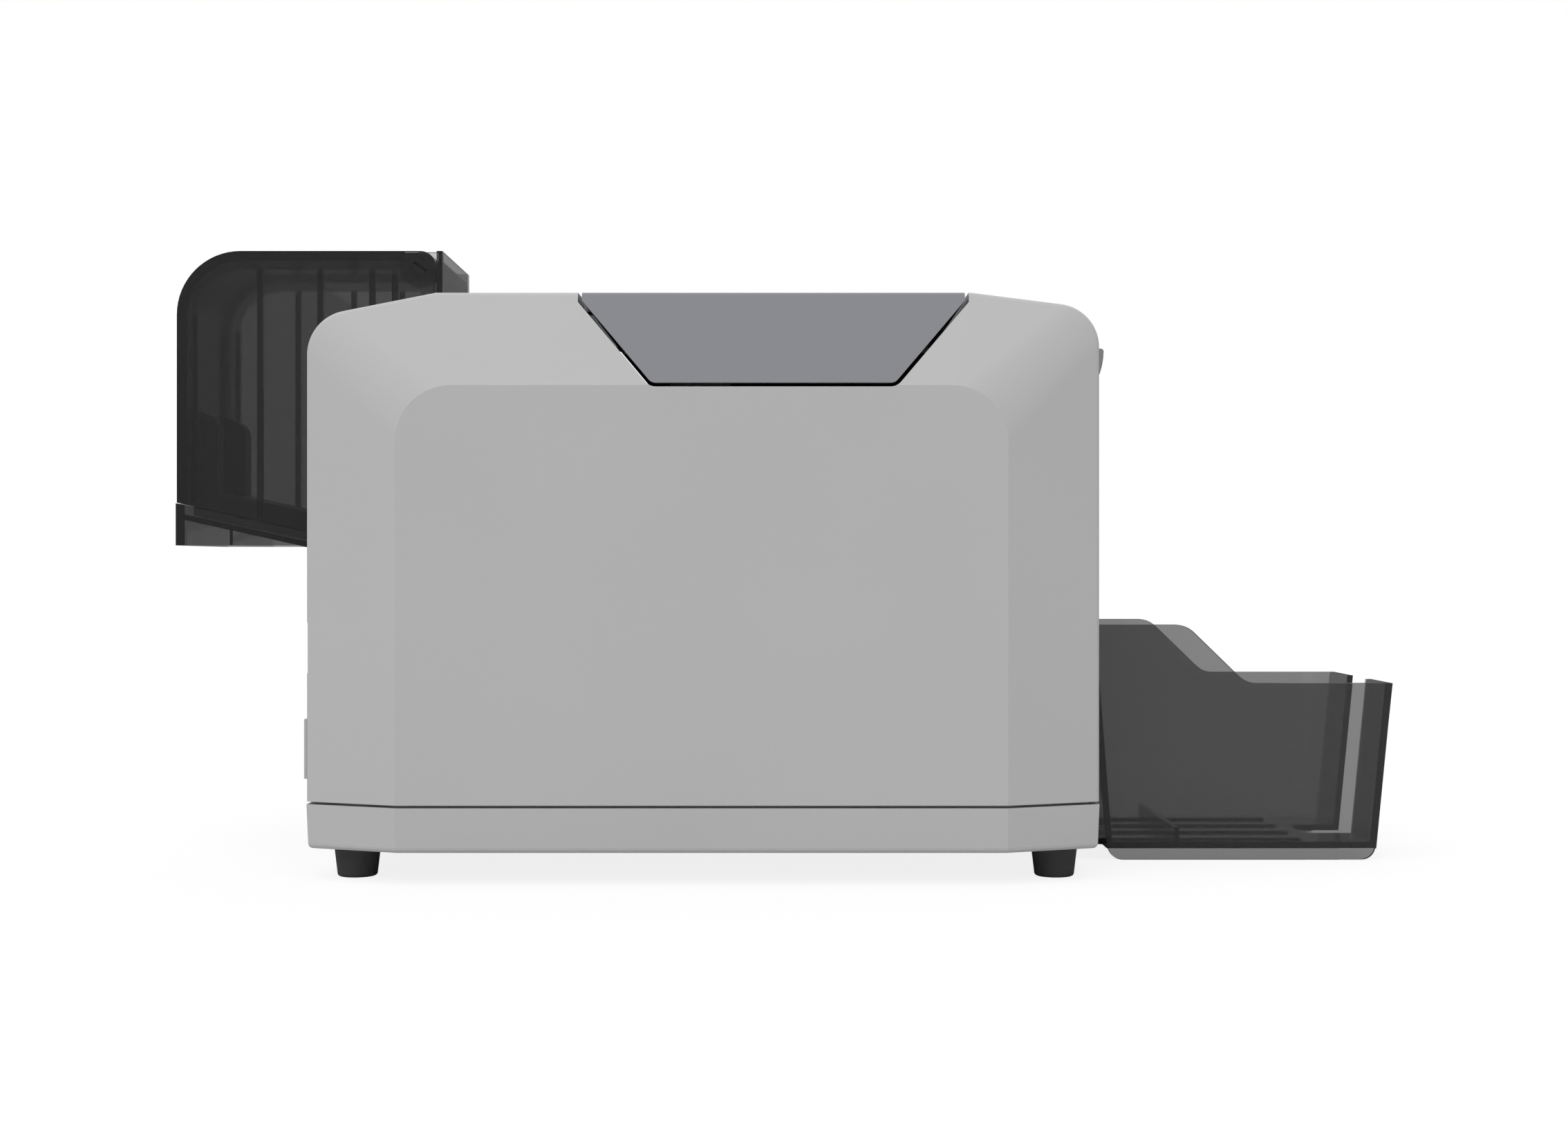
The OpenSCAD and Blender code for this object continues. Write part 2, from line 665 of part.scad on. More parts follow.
// Input hopper: the fixed base
module hopper_base() {
    ear_y = hop_in_y - fit;
    gate = 1.2;                // height of the gate that lets one card pass
    gate_half = 28;
    window_y = pick_half + 2;
    rib_x = in_x0 + 19;
    color([0.2, 0.2, 0.2, 0.6]) difference() {
        union() {
            for (side = [-1, 1])
                translate([0, side * (hop_y - hop_wall / 2), 0]) across(hop_wall) base_view();
            across(2 * hop_y) polygon([[in_x0, hop_low], [in_x0, joint_at(in_x0) - joint_gap],
                [in_x0 + base_end, joint_at(in_x0 + base_end) - joint_gap],
                [in_x0 + base_end, hop_low]]);
            across(2 * hop_y) floor_view();
            block([rib_x, -hop_y, hop_low], [rib_x + hop_wall / 2, hop_y, floor_at(rib_x) - floor_t / 2]);
            difference() {
                block([plate_x, -hop_y, base_foot_z], [plate_x1, hop_y, hop_top]);
                block([plate_x - over, -gate_half, floor_at(plate_x)],
                    [plate_x1 + over, gate_half, floor_at(plate_x) + gate]);
            }
            for (side = [-1, 1]) translate([0, side * (ear_y - ear_t / 2), 0]) across(ear_t) {
                translate(pivot_at) circle(pivot_boss_r);
                translate([pivot_at.x, pivot_at.y - pivot_boss_r])
                    square([plate_x + over - pivot_at.x, pivot_boss_r * 2]);
            }
        }
        block([roller_at(4).x - pick_r - over, -window_y, base_foot_z - over],
            [plate_x - over, window_y, floor_at(roller_at(4).x - pick_r) + over]);
        block([plate_x - 2 * over, -window_y, base_foot_z - over],
            [plate_x1 + over, window_y, floor_at(plate_x1) - floor_t]);
        for (side = [-1, 1])
            rod(pivot_at, pivot_r, side * hop_in_y - hop_wall, side * hop_in_y + hop_wall);
    }
}

// Side view of the base's side walls
module base_view() {
    step_x = x0 + 2;
    polygon([[in_x0, hop_low], [in_x0, hop_joint - joint_gap],
        [plate_x1, joint_at(plate_x1) - joint_gap],
        [plate_x1, base_foot_z], [step_x, base_foot_z], [step_x, hop_low]]);
}

// Side view of the sloping floor
module floor_view() {
    polygon([[in_x0 + base_end / 2, floor_at(in_x0 + base_end / 2)], [plate_x1, floor_at(plate_x1)],
        [plate_x1, floor_at(plate_x1) - floor_t],
        [in_x0 + base_end / 2, floor_at(in_x0 + base_end / 2) - floor_t]]);
}

// Input hopper: the hinged cover
cover_ribs = [5.6, 29.1, 50.9, 69.7, 77.9];   // distance of each guide rib from the rear end
rib_w = 2;
rib_deep = 1.4;
cover_x1 = plate_x - 0.4;
module hopper_cover() {
    thin = 1.6;                // wall thickness inside the rim
    latch_up = 5.6;            // distance of the latch window above the joint
    latch_h = 2.1;
    latch_half = 7;
    latch_z = [hop_joint + latch_up, hop_joint + latch_up + latch_h];
    rib_downs = [23.1, 6.8, 6.8, 6.8, 8.3];   // distance of each rib's top below the cover's
    rib_low = 1.5;             // distance of the ribs' lower ends above the joint
    color([0.2, 0.2, 0.2, 0.6]) difference() {
        union() {
            difference() {
                across(hop_w) cover_view(0);
                across(2 * hop_in_y) cover_view(cover_end);
            }
            for (side = [-1, 1], i = [0:len(cover_ribs) - 1]) {
                x = in_x0 + cover_ribs[i];
                a = side * (hop_y - thin / 2);
                b = side * (hop_in_y - rib_deep);
                block([x, min(a, b), joint_at(x) + rib_low],
                    [x + rib_w, max(a, b), hop_top - rib_downs[i]]);
            }
        }
        for (side = [-1, 1]) {
            a = side * (hop_y - thin);
            b = side * (hop_in_y - over);
            difference() {
                translate([0, (a + b) / 2, 0]) across(abs(a - b)) cover_view(cover_rim);
                for (x = cover_ribs)
                    block([in_x0 + x, -hop_y, base_foot_z], [in_x0 + x + rib_w, hop_y, hop_top]);
                rod(pivot_at, pivot_boss_r + 2, -hop_y, hop_y);
            }
            rod(pivot_at, pivot_r + run, side * hop_y - hop_wall * 2, side * hop_y + hop_wall * 2);
        }
        for (side = [-1, 1]) let (a = side * (hop_in_y + run), b = side * (hop_in_y - ear_t - 2 * fit))
            block([pivot_at.x - pivot_boss_r - notch_gap, min(a, b), pivot_at.y - pivot_boss_r - over],
                [plate_x, max(a, b), hop_top + over]);
        block([cover_x0 - over, -latch_half, latch_z[0]],
            [cover_x0 + cover_end + over, latch_half, latch_z[1]]);
    }
}

// Side view of the cover, drawn in by t on its rear and top sides
module cover_view(t) {
    r = cover_r - t;
    c = [cover_x0 + cover_r, hop_top - cover_r];
    swing_r = (pivot_at.y - joint_at(pivot_at.x)) * cos(hop_slope) - joint_gap;
    right = t > 0 ? [[cover_x1 + over, joint_at(cover_x1) - over],
        [cover_x1 + over, hop_top - t]] :
        concat(arc(pivot_at, swing_r, -90 - hop_slope,
                asin((cover_x1 - pivot_at.x) / swing_r) - 90, 8),
            [[cover_x1, pivot_at.y]], arc(pivot_at, hop_top - pivot_at.y, 0, 90));
    low = t > 0 ? -over : joint_gap;
    polygon(concat([[cover_x0 + t, joint_at(cover_x0 + t) + low]], right, arc(c, r, 90, 180)));
}

module hopper_pivot_pins() {
    slot_w = 0.9;
    slot_d = 0.8;
    slot_a = 35;
    inner = hop_in_y - hop_wall;
    color([0.25, 0.25, 0.25]) for (side = [-1, 1]) difference() {
        rod(pivot_at, pivot_r, min(side * hop_y, side * inner), max(side * hop_y, side * inner));
        translate([pivot_at.x, side * hop_y, pivot_at.y]) rotate([0, slot_a, 0])
            cube([3 * pivot_r, 2 * slot_d, slot_w], center = true);
    }
}

// Card weight with its two finger ears
weight_gap = 0.8;
module card_weight() {
    slab = 10.2;               // thickness of the weight's slab
    ear_l = 8.6;
    ear_h = 39;
    ear_drop = 2;              // the ears' tops fall by this towards the front
    ear_w = 9.6;
    ear_r = 5.6;
    x_a = cover_x0 + cover_end + weight_gap;
    x_b = x_a + weight_l;
    front_r = 8;
    function low(x) = floor_at(x) + fit;
    color([0.13, 0.13, 0.14]) {
        across(weight_w) polygon(concat([[x_a, low(x_a)], [x_b, low(x_b)]],
            arc([x_b - front_r, low(x_b - front_r) + slab - front_r], front_r, 0, 90 - hop_slope, 8),
            [[x_a, low(x_a) + slab]]));
        for (side = [-1, 1]) translate([0, side * (weight_w - ear_w) / 2, 0])
            across(ear_w) polygon(concat([[x_a, low(x_a) + slab / 2],
                [x_a + ear_l, low(x_a) + slab / 2]],
                arc([x_a + ear_l - ear_r, low(x_a) + ear_h - ear_r - ear_drop], ear_r, 0,
                    90 - hop_slope, 8),
                [[x_a, low(x_a) + ear_h]]));
    }
}

// Output hopper
bin_x0 = x1 + 0.4;
bin_x1 = x1 + out_reach;
bin_lean = 6.15;           // the front wall leans out by this
bin_y = bin_w / 2;
bin_floor = 6.3;           // top of the floor
bin_back = [12.25, 6.95];  // distance of the rear wall from the housing, at floor and top
bin_back_h = 72;
bin_skirt_in = 10.45;      // the skirt starts this far from the housing
bin_corner = 5;
hook_z = [34, 71];         // lower edges of the hooks that hold the bin on the housing
hook_h = 6;
hook_l = 6;
module output_hopper() {
    rib_pitch = 19.5;
    floor_rib_w = 6.5;
    floor_rib_h = 0.8;
    rib_end_in = 6;            // the floor ribs end this far before the finger gap
    cross_x = x1 + 34.35;      // place of the cross rib that stops the cards
    cross_h = 5.2;
    cross_t = 1.8;
    rest_y = 24;               // place of the tabs that rest on the housing's front
    rest_half = 4;
    foot_in = 6;
    color([0.2, 0.2, 0.2, 0.6]) difference() {
        union() {
            for (side = [-1, 1])
                translate([0, side * (bin_y - bin_wall / 2), 0]) across(bin_wall) bin_view();
            block([x1 + bin_back[0] - bin_wall, -bin_y + over / 2, bin_floor - bin_wall],
                [bin_x1 - bin_lean + bin_floor / bin_low * bin_lean - over / 2, bin_y - over / 2, bin_floor]);
            across(bin_w - over) polygon([[x1 + bin_back[0], bin_floor - bin_wall],
                [x1 + bin_back[1], bin_back_h], [x1 + bin_back[1] - bin_wall, bin_back_h],
                [x1 + bin_back[0] - bin_wall, bin_floor - bin_wall]]);
            across(bin_w - over) bin_front_view(bin_wall);
            for (i = [-1.5, -0.5, 0.5, 1.5])
                block([x1 + bin_back[0] - over, i * rib_pitch - floor_rib_w / 2, bin_floor - over],
                    [bin_x1 - bin_lean - bin_gap_l - rib_end_in, i * rib_pitch + floor_rib_w / 2,
                        bin_floor + floor_rib_h]);
            block([cross_x, -bin_y + bin_wall / 2, bin_floor - over],
                [cross_x + cross_t, bin_y - bin_wall / 2, bin_floor + cross_h]);
            for (side = [-1, 1], z = hook_z)
                translate([0, side * (bin_y - bin_wall / 2), 0])
                    block([x1 - hook_l, -bin_wall / 2, z], [bin_x0 + over, bin_wall / 2, z + hook_h]);
            for (side = [-1, 1]) translate([0, side * rest_y, 0])
                block([bin_x0, -rest_half, bin_floor - bin_wall],
                    [x1 + bin_back[0], rest_half, bin_floor]);
        }
        across(bin_gap_w) polygon([[bin_x1 - bin_lean - foot_in, bin_floor - bin_wall - over],
            [bin_x1 - foot_in, bin_low + over], [bin_x1 + over, bin_low + over],
            [bin_x1 + over, bin_z - over], [bin_x1 - bin_lean - foot_in, bin_z - over]]);
        hull() {
            for (x = [bin_x1 - bin_lean - bin_gap_l + bin_gap_w / 4, bin_x1 - bin_lean])
                for (side = [-1, 1]) translate([x, side * bin_gap_w / 4, bin_z])
                    cylinder(r = bin_gap_w / 4, h = bin_floor + over, $fn = 32);
        }
    }
}

// Side view of the bin's side walls
module bin_view() {
    r = bin_bend_r;
    slope = atan2(bin_high - bin_low, bin_low_at - bin_high_l);
    set_back = r * tan(slope / 2);
    polygon(concat([[bin_x0, bin_floor + 2], [bin_x0, bin_high]],
        arc([x1 + bin_high_l - set_back, bin_high - r], r, 90, 90 - slope, 8),
        arc([x1 + bin_low_at + set_back, bin_low + r], r, 270 - slope, 270, 8),
        [[bin_x1, bin_low]],
        arc([bin_x1 - bin_lean - bin_corner, bin_z + bin_corner], bin_corner, 0, -90, 8),
        arc([x1 + bin_skirt_in + bin_corner, bin_z + bin_corner], bin_corner, 270, 180, 8),
        [[x1 + bin_skirt_in, bin_floor + 2]]));
}

// Side view of the front wall, t thick
module bin_front_view(t) {
    z = bin_floor - bin_wall;
    x = bin_x1 - bin_lean + z / bin_low * bin_lean;
    polygon([[x - t, z], [bin_x1 - t, bin_low], [bin_x1, bin_low], [x, z]]);
}

// Side plates
pan_floor = 2.5;           // thickness of the pan's floor
plate_low = pan_z + pan_floor;
spool_r = 3;
supply_back = 47.5;        // distance of the supply spool behind the lid's centre
supply_down = 62.7;        // distance of the supply spool below the top
takeup_ahead = 50.5;
takeup_down = 66.7;
supply_at = [lid_x - supply_back, body_top - supply_down];
takeup_at = [lid_x + takeup_ahead, body_top - takeup_down];
tie_drop = 40;             // distance of the tie rods below the card path
tie_s = [25, 125, 225];    // place of the tie rods along the card path
tie_r = 3;
function tie_at(i) = on_path(tie_s[i], -tie_drop);
plate_rim = 8;             // metal left round the outermost bushes
plate_step = 12;           // length of the slopes up to the spools
function plate_view() = let (
    rear = roller_at(4).x - plate_rim,
    front = roller_at(0).x + plate_rim,
    spool_top = max(supply_at.y, takeup_at.y) + plate_rim,
    spool_rear = supply_at.x - supply_r - plate_rim,
    spool_front = takeup_at.x + takeup_r + 2 * plate_rim)
    [[rear, plate_low], [rear, roller_at(4).y + plate_rim],
     [spool_rear - plate_step, pinch_at(3).y + plate_rim], [spool_rear, spool_top],
     [spool_front, spool_top], [spool_front + plate_step, pinch_at(0).y + plate_rim],
     [front, pinch_at(0).y + plate_rim], [front, plate_low]];
module side_plate(side) {
    flange = 12;
    flange_l = 24;
    flange_in = [12, 32];      // distance of each flange from the plate's end
    ends = [roller_at(4).x - plate_rim + flange_in[0], roller_at(0).x + plate_rim - flange_in[1]];
    y = side * (plate_y + plate_t / 2);
    color([0.72, 0.73, 0.75]) {
        difference() {
            union() {
                translate([0, y, 0]) across(plate_t) polygon(plate_view());
                for (x = ends)
                    block([x, min(side * plate_y, side * (plate_out + flange)), plate_low],
                        [x + flange_l, max(side * plate_y, side * (plate_out + flange)),
                            plate_low + plate_t]);
            }
            for (i = [0:4]) plate_hole(roller_at(i), bush_r, side);
            for (i = [0, 1, 3]) plate_hole(pinch_at(i), shaft_r + run, side);
            for (p = [supply_at, takeup_at]) plate_hole(p, spool_r + run, side);
            if (side < 0) plate_hole(pinion_at, motor_shaft_r + 1, side);
        }
        if (side < 0) for (i = [0:3])
            rod(idler_at(i), shaft_r, -gear_y - gear_w - 1, -plate_y - plate_t / 2);
    }
}

module plate_hole(at, r, side) {
    rod(at, r, min(side * plate_y, side * plate_out) - over, max(side * plate_y, side * plate_out) + over);
}

module tie_rods() {
    color([0.7, 0.7, 0.72]) for (i = [0:2]) rod(tie_at(i), tie_r, -plate_y, plate_y);
}

// Flanged bushes of the driven shafts
bush_r = 4.5;
bush_flange_r = 6;
bush_flange = 1;
module shaft_bushes() {
    color([0.72, 0.6, 0.35]) for (i = [0:4], side = [-1, 1]) difference() {
        union() {
            rod(roller_at(i), bush_r, min(side * plate_y, side * plate_out),
                max(side * plate_y, side * plate_out));
            rod(roller_at(i), bush_flange_r, min(side * plate_y, side * (plate_y - bush_flange)),
                max(side * plate_y, side * (plate_y - bush_flange)));
        }
        rod(roller_at(i), shaft_r + run, -half_w, half_w);
    }
}

// Grooved rails that guide the card's edges
module card_rail(side) {
    card_y = 27.4;
    out = plate_y;
    lip = 1.5;
    rail_t = 3;
    s_a = 14;
    s_b = x1 - bay_x1 - bay_wall - 4;
    head_room = [16, 14];      // the rail is open before and after the head by these
    head_side = 5;
    color([0.15, 0.15, 0.15]) difference() {
        intersection() {
            path_block(s_a, s_b, -rail_t, card_t + rail_t);
            block([x0, min(side * (card_y - lip), side * out), 0],
                [x1, max(side * (card_y - lip), side * out), body_top]);
        }
        intersection() {
            path_block(s_a - 2 * over, s_b + 2 * over, -fit, card_t + fit);
            block([x0, -card_y, 0], [x1, card_y, body_top]);
        }
        for (i = [0:3]) rod(roller_at(i), roller_r + 1, -plate_y + bush_flange, plate_y - bush_flange);
        for (i = [0, 1, 3]) rod(pinch_at(i), pinch_r + 1, -plate_y + bush_flange, plate_y - bush_flange);
        for (i = [0:3]) rod(roller_at(i), bush_flange_r + 0.5, -plate_y - over, plate_y + over);
        for (i = [0, 1, 3]) rod(pinch_at(i), shaft_r + 1, -plate_y - over, plate_y + over);
        intersection() {
            path_block(roller_s(2) - head_room[0], roller_s(2) + head_room[1], card_t / 2,
                card_t + 2 * rail_t);
            block([x0, -plate_y + head_side, 0], [x1, plate_y - head_side, body_top]);
        }
    }
}

// A slab along the path from s_a to s_b and from height h_a to h_b, right across
module path_block(s_a, s_b, h_a, h_b) {
    across(body_w) polygon([on_path(s_a, h_a), on_path(s_a, h_b), on_path(s_b, h_b),
        on_path(s_b, h_a)]);
}

// Driven rollers: steel shaft with a rubber sleeve
module driven_roller(i) {
    r = i == 4 ? pick_r : roller_r;
    half = i == 4 ? pick_half : sleeve_y;
    far = plate_out + 1.5;
    color([0.2, 0.2, 0.2]) rod(roller_at(i), r, -half, half);
    color([0.75, 0.75, 0.77]) rod(roller_at(i), shaft_r, -gear_y - gear_w - 1, far);
}

// Free rollers above the path
module free_roller(i) {
    color([0.75, 0.75, 0.77]) {
        rod(pinch_at(i), pinch_r, -sleeve_y, sleeve_y);
        rod(pinch_at(i), shaft_r, -plate_out - 1, plate_out + 1);
    }
}

// Gears. The tooth flank is an involute of the base circle.
pressure_a = 20;
backlash = 0.12;           // taken off each tooth's thickness
flank_steps = 3;
function involute(a) = tan(a) - a * PI / 180;
function tooth(n) = let (
    r = n * gear_m / 2,
    base_r = r * cos(pressure_a),
    root_r = r - 1.25 * gear_m,
    tip_r = r + gear_m,
    start_r = max(base_r, root_r),
    half = (PI * gear_m / 2 - backlash) / (2 * r) + involute(pressure_a),
    flank = [for (k = [0:flank_steps]) let (
        q = start_r + (tip_r - start_r) * k / flank_steps,
        a = (half - involute(acos(base_r / q))) * 180 / PI) [q, a]])
    concat([[root_r, flank[0][1]]], flank);
module gear_view(n) {
    t = tooth(n);
    m = len(t) - 1;
    polygon([for (i = [0:n - 1]) each concat(
        [for (k = [0:m]) t[k][0] * [cos(i * 360 / n - t[k][1]), sin(i * 360 / n - t[k][1])]],
        [for (k = [m:-1:0]) t[k][0] * [cos(i * 360 / n + t[k][1]), sin(i * 360 / n + t[k][1])]])]);
}

// A gear at a place in the side view, with its bore, hub and lightening holes
module gear(n, at, bore, turn, holes) {
    hub_r = shaft_r + 2.2;
    web_in = 1.5;
    r = n * gear_m / 2;
    rim_r = r - 3.5 * gear_m;
    hole_r = (rim_r - hub_r) / 2 - 1;
    translate([at.x, -gear_y, at.y]) rotate([90, 0, 0]) rotate([0, 0, turn]) difference() {
        linear_extrude(gear_w) gear_view(n);
        if (holes > 0) {
            for (z = [-over, gear_w - web_in]) translate([0, 0, z]) difference() {
                cylinder(r = rim_r, h = web_in + over);
                translate([0, 0, -over]) cylinder(r = hub_r, h = web_in + 3 * over);
            }
            for (k = [0:holes - 1]) rotate([0, 0, 360 * k / holes])
                translate([(rim_r + hub_r) / 2, 0, -over]) cylinder(r = hole_r, h = gear_w + 2 * over);
        }
        translate([0, 0, -over]) cylinder(r = bore, h = gear_w + 2 * over);
    }
}

module roller_gear(i) {
    color([0.85, 0.85, 0.82]) gear(roller_teeth, roller_at(i), shaft_r, path_a * -1, 0);
}

module idler_gear(i) {
    color([0.85, 0.85, 0.82])
        gear(idler_teeth, idler_at(i - 1), shaft_r + run, 180 / idler_teeth - path_a, 6);
}

// Main motor and its pinion
motor_shaft_r = 2;
motor_l = 36;
motor_r = 17;
module main_motor() {
    color([0.35, 0.35, 0.37]) {
        intersection() {
            rod(pinion_at, motor_r, -plate_y, -plate_y + motor_l);
            translate([pinion_at.x, -plate_y + motor_l / 2, pinion_at.y])
                cube([1.75 * motor_r, motor_l, 1.75 * motor_r], center = true);
        }
        rod(pinion_at, motor_shaft_r, -gear_y - gear_w - 1, -plate_y + 1);
    }
}

module motor_pinion() {
    phase = 90 - path_a;
    u = (phase - 180 - (180 / idler_teeth - path_a)) * idler_teeth / 360;
    turn = phase - (0.5 - u) * 360 / pinion_teeth;
    color([0.8, 0.68, 0.4]) gear(pinion_teeth, pinion_at, motor_shaft_r + run, turn, 0);
}

// Ribbon drive and spools
ribbon_half = 29;
supply_r = 13;
takeup_r = 8;
core_r = 6;
module ribbon_motor() {
    case_r = 12;
    case_l = 26;
    tab_half = [18, 6];
    tab_t = 1.2;
    color([0.35, 0.35, 0.37]) {
        rod(takeup_at, case_r, plate_out, plate_out + case_l);
        block([takeup_at.x - tab_half[0], plate_out, takeup_at.y - tab_half[1]],
            [takeup_at.x + tab_half[0], plate_out + tab_t, takeup_at.y + tab_half[1]]);
    }
}

module spool(at, r) {
    color([0.9, 0.9, 0.88]) rod(at, core_r, -plate_y + 2, plate_y - 2);
    color([0.9, 0.9, 0.88]) rod(at, spool_r, -plate_out + 0.5, plate_out - 0.5);
    color([0.12, 0.1, 0.16]) rod(at, r, -ribbon_half, ribbon_half);
}

// The film from the supply spool under the head to the take-up spool
film_t = 0.3;
head_at = on_path(roller_s(2), card_t + fit);
function tangent_low(at, r) = [at.x, at.y - r - fit - film_t / 2];
module ribbon_film() {
    guide_s = 16;
    guide_h = 9;
    head_s = [1.5, -5];
    guide_a = on_path(roller_s(2) + guide_s, card_t + guide_h);
    head_a = on_path(roller_s(2) + head_s[0], card_t + fit + film_t / 2);
    head_b = on_path(roller_s(2) + head_s[1], card_t + fit + film_t / 2);
    path = [tangent_low(supply_at, supply_r), guide_a, head_a, head_b,
        tangent_low(takeup_at, takeup_r)];
    color([0.15, 0.1, 0.25]) across(2 * ribbon_half) polygon(concat(
        [for (p = path) p + [0, film_t / 2]],
        [for (i = [len(path) - 1:-1:0]) path[i] - [0, film_t / 2]]));
}

// Print head, carried by the lid
head_half = 30;
head_h = 14;               // height of the print head
sink_h = 22;               // height of the heat sink on the head
head_top = head_at.y + head_h;
sink_top = head_top + sink_h;
module head_bracket() {
    arm_y = 34;
    t = 1.6;
    top_z = body_top - lid_wall;
    plate_l = 24;
    arm_l = 20;
    low_z = sink_top;
    color([0.72, 0.73, 0.75]) {
        block([head_at.x - plate_l / 2, -arm_y, low_z], [head_at.x + plate_l / 2, arm_y, low_z + t]);
        for (side = [-1, 1]) translate([0, side * (arm_y - t / 2), 0]) across(t)
            polygon([[head_at.x - plate_l / 2, low_z], [head_at.x + plate_l / 2, low_z],
                [head_at.x, top_z], [head_at.x - arm_l, top_z]]);
    }
}

module heat_sink() {
    fins = 8;
    base = 5;
    cap = 2;
    l = 22;
    pitch = l / fins;
    slit = 0.6 * pitch;
    color([0.78, 0.78, 0.8]) difference() {
        block([head_at.x - l / 2, -head_half, head_top], [head_at.x + l / 2, head_half, sink_top]);
        for (i = [1:fins - 1]) let (x = head_at.x - l / 2 + i * pitch)
            block([x - slit / 2, -head_half - over, head_top + base],
                [x + slit / 2, head_half + over, sink_top - cap]);
    }
}

module printhead() {
    line_r = 1;                // radius of the heating line's edge
    side_in = 1;
    ahead = [4, 6];
    behind = 11;
    chin = 3;
    color([0.85, 0.85, 0.8]) across(2 * (head_half - side_in)) polygon(concat(
        arc(head_at + [0, film_t + fit + line_r], line_r, 200, 340, 6),
        [[head_at.x + ahead[0], head_at.y + ahead[1]], [head_at.x + ahead[1], head_top],
         [head_at.x - behind, head_top], [head_at.x - behind, head_top - chin]]));
}

// Electronics
chip_at = [52, -2];        // centre of the chip, from the board's rear edge
chip_w = 20;
chip_t = 2;
plug_at = [90, -20];       // centre of the cable socket
plug_size = [12, 8, 6];
cap_at = [42, 22];         // the first of the capacitors
cap_r = 4;
cap_h = 9;
cap_pitch = 12;
module main_board() {
    face = board_z + board_t;
    chip = [board_x[0] + chip_at.x, chip_at.y];
    plug = [board_x[0] + plug_at.x, plug_at.y];
    color([0.1, 0.35, 0.2]) difference() {
        union() {
            block([board_x[0], -board_y, board_z], [board_x[1], board_y, face]);
            block([chip.x - chip_w / 2, chip.y - chip_w / 2, board_z],
                [chip.x + chip_w / 2, chip.y + chip_w / 2, face + chip_t]);
            block([plug.x - plug_size.x / 2, plug.y - plug_size.y / 2, board_z],
                [plug.x + plug_size.x / 2, plug.y + plug_size.y / 2, face + plug_size.z]);
            for (i = [0:3])
                rod_z([board_x[0] + cap_at.x + cap_pitch * i, cap_at.y], cap_r, board_z, face + cap_h);
        }
        for (i = [0:3]) rod_z(post_xy(i), screw_r, board_z - over, board_z + board_t + over);
    }
}

module port(p, h, deep) {
    metal = 0.8;
    set_in = 0.6;
    back = 2;
    a = p[0] - p[1] / 2 + fit;
    b = p[0] + p[1] / 2 - fit;
    color([0.75, 0.75, 0.77]) difference() {
        block([x0 + set_in, a, port_z], [board_x[0] + deep, b, port_z + h]);
        block([x0, a + metal, port_z + metal],
            [board_x[0] + deep - back, b - metal, port_z + h - metal]);
    }
}

frame_wall = 2;            // wall thickness of the inlet's and the switch's frames
rocker_in = 4;             // distance of the rocker's pivot from the rear face
rocker_pin_r = 1.2;
rocker_c = [x0 + rocker_in, (socket_z[0] + socket_z[1]) / 2];
module socket_frame(p, deep, pin_r) {
    flange = 2;
    flange_t = 1;
    slack = 0.1;
    a = p[0] - p[1] / 2;
    b = p[0] + p[1] / 2;
    color([0.12, 0.12, 0.12]) difference() {
        union() {
            block([x0 - flange_t, a - flange, socket_z[0] - flange],
                [x0, b + flange, socket_z[1] + flange]);
            block([x0 - flange_t, a + slack, socket_z[0] + slack],
                [x0 + deep, b - slack, socket_z[1] - slack]);
        }
        block([x0 - flange_t - over, a + frame_wall, socket_z[0] + frame_wall],
            [x0 + deep - frame_wall, b - frame_wall, socket_z[1] - frame_wall]);
        if (pin_r > 0) rod(rocker_c, pin_r + run, a + slack + frame_wall / 4, b - slack - frame_wall / 4);
    }
}

module power_inlet() {
    pin_pitch = 5;
    pin_half = [0.8, 2];
    pin_in = [6, 15];
    mid = (socket_z[0] + socket_z[1]) / 2;
    socket_frame(inlet_at, 16, 0);
    color([0.75, 0.75, 0.77]) for (y = [-pin_pitch, 0, pin_pitch])
        block([x0 + pin_in[0], inlet_at[0] + y - pin_half[0], mid - pin_half[1]],
            [x0 + pin_in[1], inlet_at[0] + y + pin_half[0], mid + pin_half[1]]);
}

module power_rocker() {
    half = socket_h / 2 - frame_wall - fit;
    w = switch_w - 2 * frame_wall - 2 * fit;
    proud = 1.6;
    dip = 0.6;
    inner = 2;
    pin_half = w / 2 + fit + frame_wall / 2;
    color([0.1, 0.1, 0.1]) translate([0, switch_at[0], 0]) {
        across(w)
            polygon([[x0 - proud, rocker_c.y + half - 1.4], [x0 - 0.4, rocker_c.y],
                [x0 + dip, rocker_c.y - half + dip], [rocker_c.x + inner, rocker_c.y - inner],
                [rocker_c.x + inner, rocker_c.y + inner]]);
        rod(rocker_c, rocker_pin_r, -pin_half, pin_half);
    }
}

fan_x = x0 + wall;
hub_r = 8;                 // radius of the fan's hub
pin_r = 1.5;               // radius of the fan's shaft
module fan_frame() {
    spoke = 2;
    color([0.15, 0.15, 0.15]) difference() {
        block([fan_x, fan_y - fan_size / 2, fan_z - fan_size / 2],
            [fan_x + fan_t, fan_y + fan_size / 2, fan_z + fan_size / 2]);
        difference() {
            rod_x([fan_y, fan_z], fan_size / 2 - 1, fan_x - over, fan_x + fan_t + over);
            for (a = [45, 135]) translate([fan_x + fan_t - 1, fan_y, fan_z]) rotate([a, 0, 0])
                cube([spoke, fan_size, spoke], center = true);
            rod_x([fan_y, fan_z], hub_r - 1, fan_x + fan_t - spoke, fan_x + fan_t);
        }
        rod_x([fan_y, fan_z], pin_r + run, fan_x + fan_t - 1.5 * spoke, fan_x + fan_t + over);
    }
}

module rod_x(at, r, a, b) {
    translate([a, at.x, at.y]) rotate([0, 90, 0]) cylinder(r = r, h = b - a);
}

